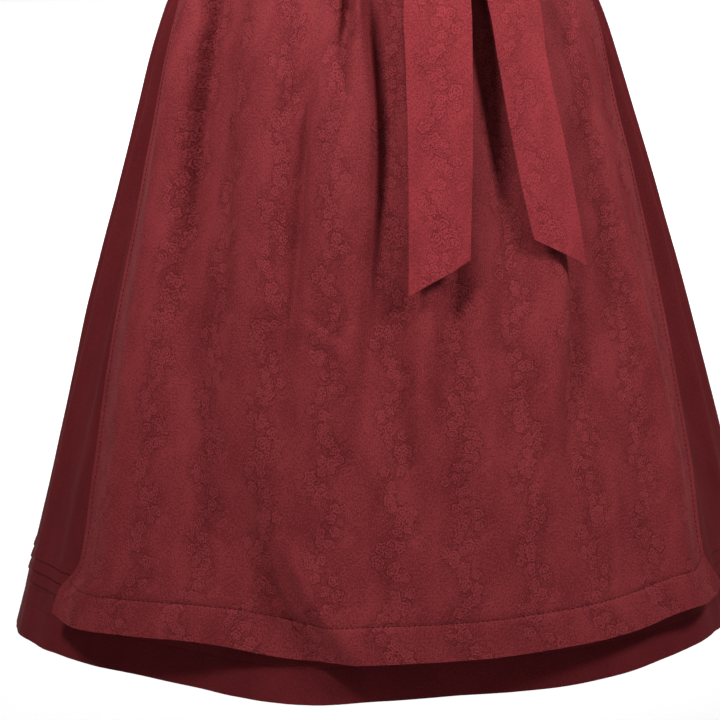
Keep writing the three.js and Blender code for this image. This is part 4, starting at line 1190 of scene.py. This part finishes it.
def bodice_top(angle, facing):
    """How far up the bodice its edge lies: neckline, shoulder, armhole."""
    return steady_curve(OUTLINE, facing, np.abs(angle))


def bodice_point(angle, rise, facing, out):
    """Point of the bodice from its angle and its rise from waist (0) to shoulder (1)."""
    inside = np.minimum(rise, 2 - rise)
    taper = 0.4 * (1 - smooth(inside, 0, 0.68))
    bent = angle * (1 - taper * (1 - (angle / 90) ** 2))
    depth = curve(BODICE, facing, inside) * np.where(rise > 1, -1, 1)
    half = curve(BODICE, "half", inside)
    bust = 0.0
    if facing == "front":
        bust = (BUST["depth"] * bell((np.abs(bent) - BUST["angle"]) / BUST["wide"])
                * bell((inside - BUST["rise"]) / BUST["high"]))
    x = (half + out) * np.sin(np.radians(bent))
    y = (depth + bust + out) * np.cos(np.radians(bent))
    up = curve(BODICE, "up", inside) - 0.28 * (np.abs(x) - 96) * smooth(inside, 0.6, 1)
    shift = curve(BODICE, "shift", inside)
    if facing == "front":
        return np.stack([x, shift - y, up], axis=-1)
    return np.stack([-x, shift + y, up], axis=-1)


def bodice_out(angle, rise, facing):
    """Soft unevenness, and shallow creases round the waist where the bodice bends with its wearer."""
    seed = 61 if facing == "front" else 62
    soft = 0.45 * uneven(angle / 9 + 12, rise * 7, seed) + 0.2 * uneven(angle / 4 + 40, rise * 16, seed + 2)
    bend = np.sin(rise * 78 + 2.4 * uneven(angle / 16 + 9, rise * 4, seed + 4))
    waist = 0.5 * bend * bell((rise - 0.12) / 0.1)
    return (soft + waist) * smooth(rise, 0.0, 0.05) * (1 - smooth(rise, 0.86, 0.97))


def lap_over(angle):
    """The right front stands out where it lies on the left one."""
    return OVERLAP * smooth(angle, -LAP_START - 4, -LAP_START)


def bodice_panel(node, start, end, facing, lap=None, columns=56):
    """One panel, from its angle at one seam to that at the next, under the bodice's upper outline."""
    inner = [a for a in np.concatenate([-CLOSE_COLUMNS, [0], CLOSE_COLUMNS]) if start < a < end]
    angles = np.unique(np.concatenate([np.linspace(start, end, columns), inner]))
    angle, v = np.meshgrid(angles, 1 - np.linspace(1, 0, 80) ** 1.25)
    rise = mix(bodice_top(angle, facing), WAIST_GAP, v)
    lifted = lap(angle) if lap else 0.0
    outer = bodice_point(angle, rise, facing, lifted + bodice_out(angle, rise, facing))
    wide = row_length(outer[-1])
    uv = np.stack([(angle - start) / (end - start) * wide, rise * BODICE["up"][-1]], axis=-1)
    return cloth_wall(node, outer, uv, dress_cloth)


inner, outer_edge, side = PRINCESS - SEAM_ANGLE, PRINCESS + SEAM_ANGLE, 90 - SEAM_ANGLE
bodice_panel("bodice_front_left", -LAP_UNDER, inner, "front")
bodice_panel("bodice_front_right", -inner, LAP_OVER, "front", lap_over)
bodice_panel("bodice_side_left", outer_edge, side, "front")
bodice_panel("bodice_side_right", -side, -outer_edge, "front")
bodice_panel("bodice_back", -inner, inner, "back", columns=100)
bodice_panel("bodice_side_back_right", outer_edge, side, "back")
bodice_panel("bodice_side_back_left", -side, -outer_edge, "back")

# %% [markdown]
# Six cloth-covered buttons close the front. Each is a shallow dome: a profile turned round its middle.
# It sits on the lap, square to the cloth, so its direction is worked out from the bodice's own slope.

# %% Buttons
BUTTONS = 6
BUTTON_RADIUS, BUTTON_HEIGHT = 6.5, 3.2
BUTTON_LOWEST, BUTTON_HIGHEST = 30, 222
BUTTON_PROFILE = table("along radius height", (0, 0, 0), (1, 0.9, 0), (1.6, 1, 0.28), (2.2, 0.95, 0.6),
                       (3, 0.66, 0.88), (4, 0, 1))


def button_piece(number, up, sides=40):
    """A covered button at a height up the centre front."""
    rise = np.linspace(0, 0.6, 240)
    line = bodice_point(np.zeros_like(rise), rise, "front", OVERLAP)
    seat = np.array([np.interp(up, line[:, 2], line[:, k]) for k in range(3)])
    ahead = np.array([np.interp(up + 3, line[:, 2], line[:, k]) for k in range(3)])
    along = (ahead - seat) / np.linalg.norm(ahead - seat)
    out = np.array([0, -along[2], along[1]])
    at = np.linspace(0, 4, 22)
    radius = np.maximum(curve(BUTTON_PROFILE, "radius", at), 0) * BUTTON_RADIUS
    height = curve(BUTTON_PROFILE, "height", at) * BUTTON_HEIGHT + 0.35
    turn = np.linspace(0, 2 * np.pi, sides, endpoint=False)
    ring = (seat + (np.cos(turn)[None, :, None] * [1, 0, 0] + np.sin(turn)[None, :, None] * along)
            * radius[1:-1, None, None] + height[1:-1, None, None] * out)
    vertices, faces = closed_skin(ring, [seat + out * height[0], seat + out * height[-1]], turned=True)
    return new_piece(f"button_{number}", vertices, faces, vertices[:, [0, 2]], button_cloth)


for number, up in enumerate(np.linspace(BUTTON_LOWEST, BUTTON_HIGHEST, BUTTONS), 1):
    button_piece(number, up)
print("buttons:", BUTTONS)

# %% [markdown]
# The edges of the cloth are turned in and sewn down, in lines at a fixed distance from the edge. Only
# the ties are sewn as tubes and turned inside out, so that no sewing shows on them or on the bow.

# %% Sewing
def seam_line(point, a, b, step_a, step_b):
    """A line on a surface given by a function, and the surface's normals along it."""
    across = point(a + step_a, b) - point(a - step_a, b)
    along = point(a, b + step_b) - point(a, b - step_b)
    normal = np.cross(along, across)
    return point(a, b), normal / np.linalg.norm(normal, axis=-1, keepdims=True)


def sew(name, slot, lines, **sizes):
    """Stitches along several lines, as one piece."""
    paths, normals = zip(*lines)
    return stitches(name, paths, normals, slot, **sizes)


EDGE_IN = 0.011
NECK_IN = 0.013
PATH_POINTS, ROUND_POINTS, BAND_POINTS = 500, 1800, 900
shares = np.linspace(0.012, 0.988, PATH_POINTS)
downs = np.linspace(0.04, HEM_FOLD, PATH_POINTS)
sewing = {
    "apron_hem_sewing": sew("apron_hem_sewing", "apron_cloth", [
        seam_line(apron_point, shares, np.full(PATH_POINTS, HEM_FOLD), 1e-3, 1e-3),
        seam_line(apron_point, np.full(PATH_POINTS, EDGE_IN), downs, 1e-3, 1e-3),
        seam_line(apron_point, np.full(PATH_POINTS, 1 - EDGE_IN), downs, 1e-3, 1e-3)]),
    "skirt_hem_sewing": sew("skirt_hem_sewing", "dress_cloth", [
        seam_line(lambda a, d: on_form(a, d, skirt_out(a, d)), np.linspace(-179.8, 179.8, ROUND_POINTS),
                  np.full(ROUND_POINTS, HEM_STITCH), 0.2, 1e-3)]),
}
band_angle = np.linspace(-BAND_END + 1, BAND_END - 1, BAND_POINTS)
sewing["apron_waistband"] = sew("waistband_sewing", "apron_cloth", [
    seam_line(band_point, band_angle, np.full(BAND_POINTS, v), 0.2, 0.01) for v in (0.09, 0.91)])


def bodice_edge(facing, angles, lap=None):
    """A line 5 mm under the bodice's upper edge."""
    def point(a, r):
        return bodice_point(a, r, facing, bodice_out(a, r, facing) + (lap(a) if lap else 0.0))
    return seam_line(point, angles, bodice_top(angles, facing) - NECK_IN, 0.1, 1e-3)


neck = np.linspace(-23, -9, 120)
sewing["bodice"] = sew("bodice_sewing", "dress_cloth", [
    bodice_edge("front", neck, lap_over), bodice_edge("front", np.linspace(7, 23, 120)),
    bodice_edge("back", np.linspace(-23, 23, 240)),
    bodice_edge("front", np.linspace(46.6, 89.4, 200)), bodice_edge("front", np.linspace(-89.4, -46.6, 200)),
    bodice_edge("back", np.linspace(46.6, 89.4, 200)), bodice_edge("back", np.linspace(-89.4, -46.6, 200))])

# %% [markdown]
# All of it but the buttons is cloth that was cut flat. Stitches and the knot are listed with the sheet they
# are on.

# %% Sheets
GOES_WITH = {
    "skirt_front": [sewing["skirt_hem_sewing"]],
    "apron_panel": [sewing["apron_hem_sewing"]],
    "apron_waistband": [sewing["apron_waistband"]],
    "bodice_back": [sewing["bodice"]],
    "bow_loop_outer": [knot],
}


for name, outer in CUT.items():
    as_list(GOES_WITH.get(name, ()))

# %% [markdown]
# Nothing holds the garment, as in a picture cut out on white: a wide pale floor lies well below its hem,
# lit until it is white. Two soft lamps stand in front, one at each side, a little above the bodice.
# They are so near that the top of the skirt gets more of their light than its hem, and so far to the
# side that every fold has a bright and a dark flank. A weak lamp in front keeps the folds from black.

# %% Studio
STAGE_BELOW = -1.05
FLOOR_HALF = 30.0
floor_mesh = bpy.data.meshes.new("floor")
floor_mesh.from_pydata([(-FLOOR_HALF, -FLOOR_HALF, STAGE_BELOW), (FLOOR_HALF, -FLOOR_HALF, STAGE_BELOW),
                        (FLOOR_HALF, FLOOR_HALF, STAGE_BELOW), (-FLOOR_HALF, FLOOR_HALF, STAGE_BELOW)],
                       [], [(0, 1, 2, 3)])
floor = bpy.data.objects.new("floor", floor_mesh)
bpy.context.scene.collection.objects.link(floor)
floor_paint = bpy.data.materials.new("floor paint")
floor_paint.use_nodes = True
floor_paint.node_tree.nodes["Principled BSDF"].inputs["Base Color"].default_value = (0.9, 0.9, 0.9, 1)
floor_paint.node_tree.nodes["Principled BSDF"].inputs["Roughness"].default_value = 0.9
floor_mesh.materials.append(floor_paint)

world = bpy.data.worlds.new("studio")
world.use_nodes = True
world.node_tree.nodes["Background"].inputs["Color"].default_value = (1, 1, 1, 1)
world.node_tree.nodes["Background"].inputs["Strength"].default_value = 0.04
bpy.context.scene.world = world
bpy.context.scene.view_settings.view_transform = "Standard"


def lamp(name, place, aim, size, power):
    """A rectangular soft light that the camera doesn't see."""
    data = bpy.data.lights.new(name, "AREA")
    data.shape = "RECTANGLE"
    data.size, data.size_y = size
    data.energy = power
    made = aimed(bpy.data.objects.new(name, data), np.array(place, float), np.array(aim, float))
    made.visible_camera = False
    return made


lamp("left key", (-0.6, -0.74, 0.66), (0, -0.15, -0.16), (0.3, 0.25), 16.5)
lamp("right key", (0.85, -0.68, 0.52), (0.05, -0.15, -0.28), (0.3, 0.25), 14.5)
lamp("front fill", (0.15, -1.25, 0.6), (0, 0, -0.2), (0.4, 0.4), 1.6)
lamp("backdrop", (0, 6.5, 3.2), (0, 6.4, -1.05), (9, 8), 800)
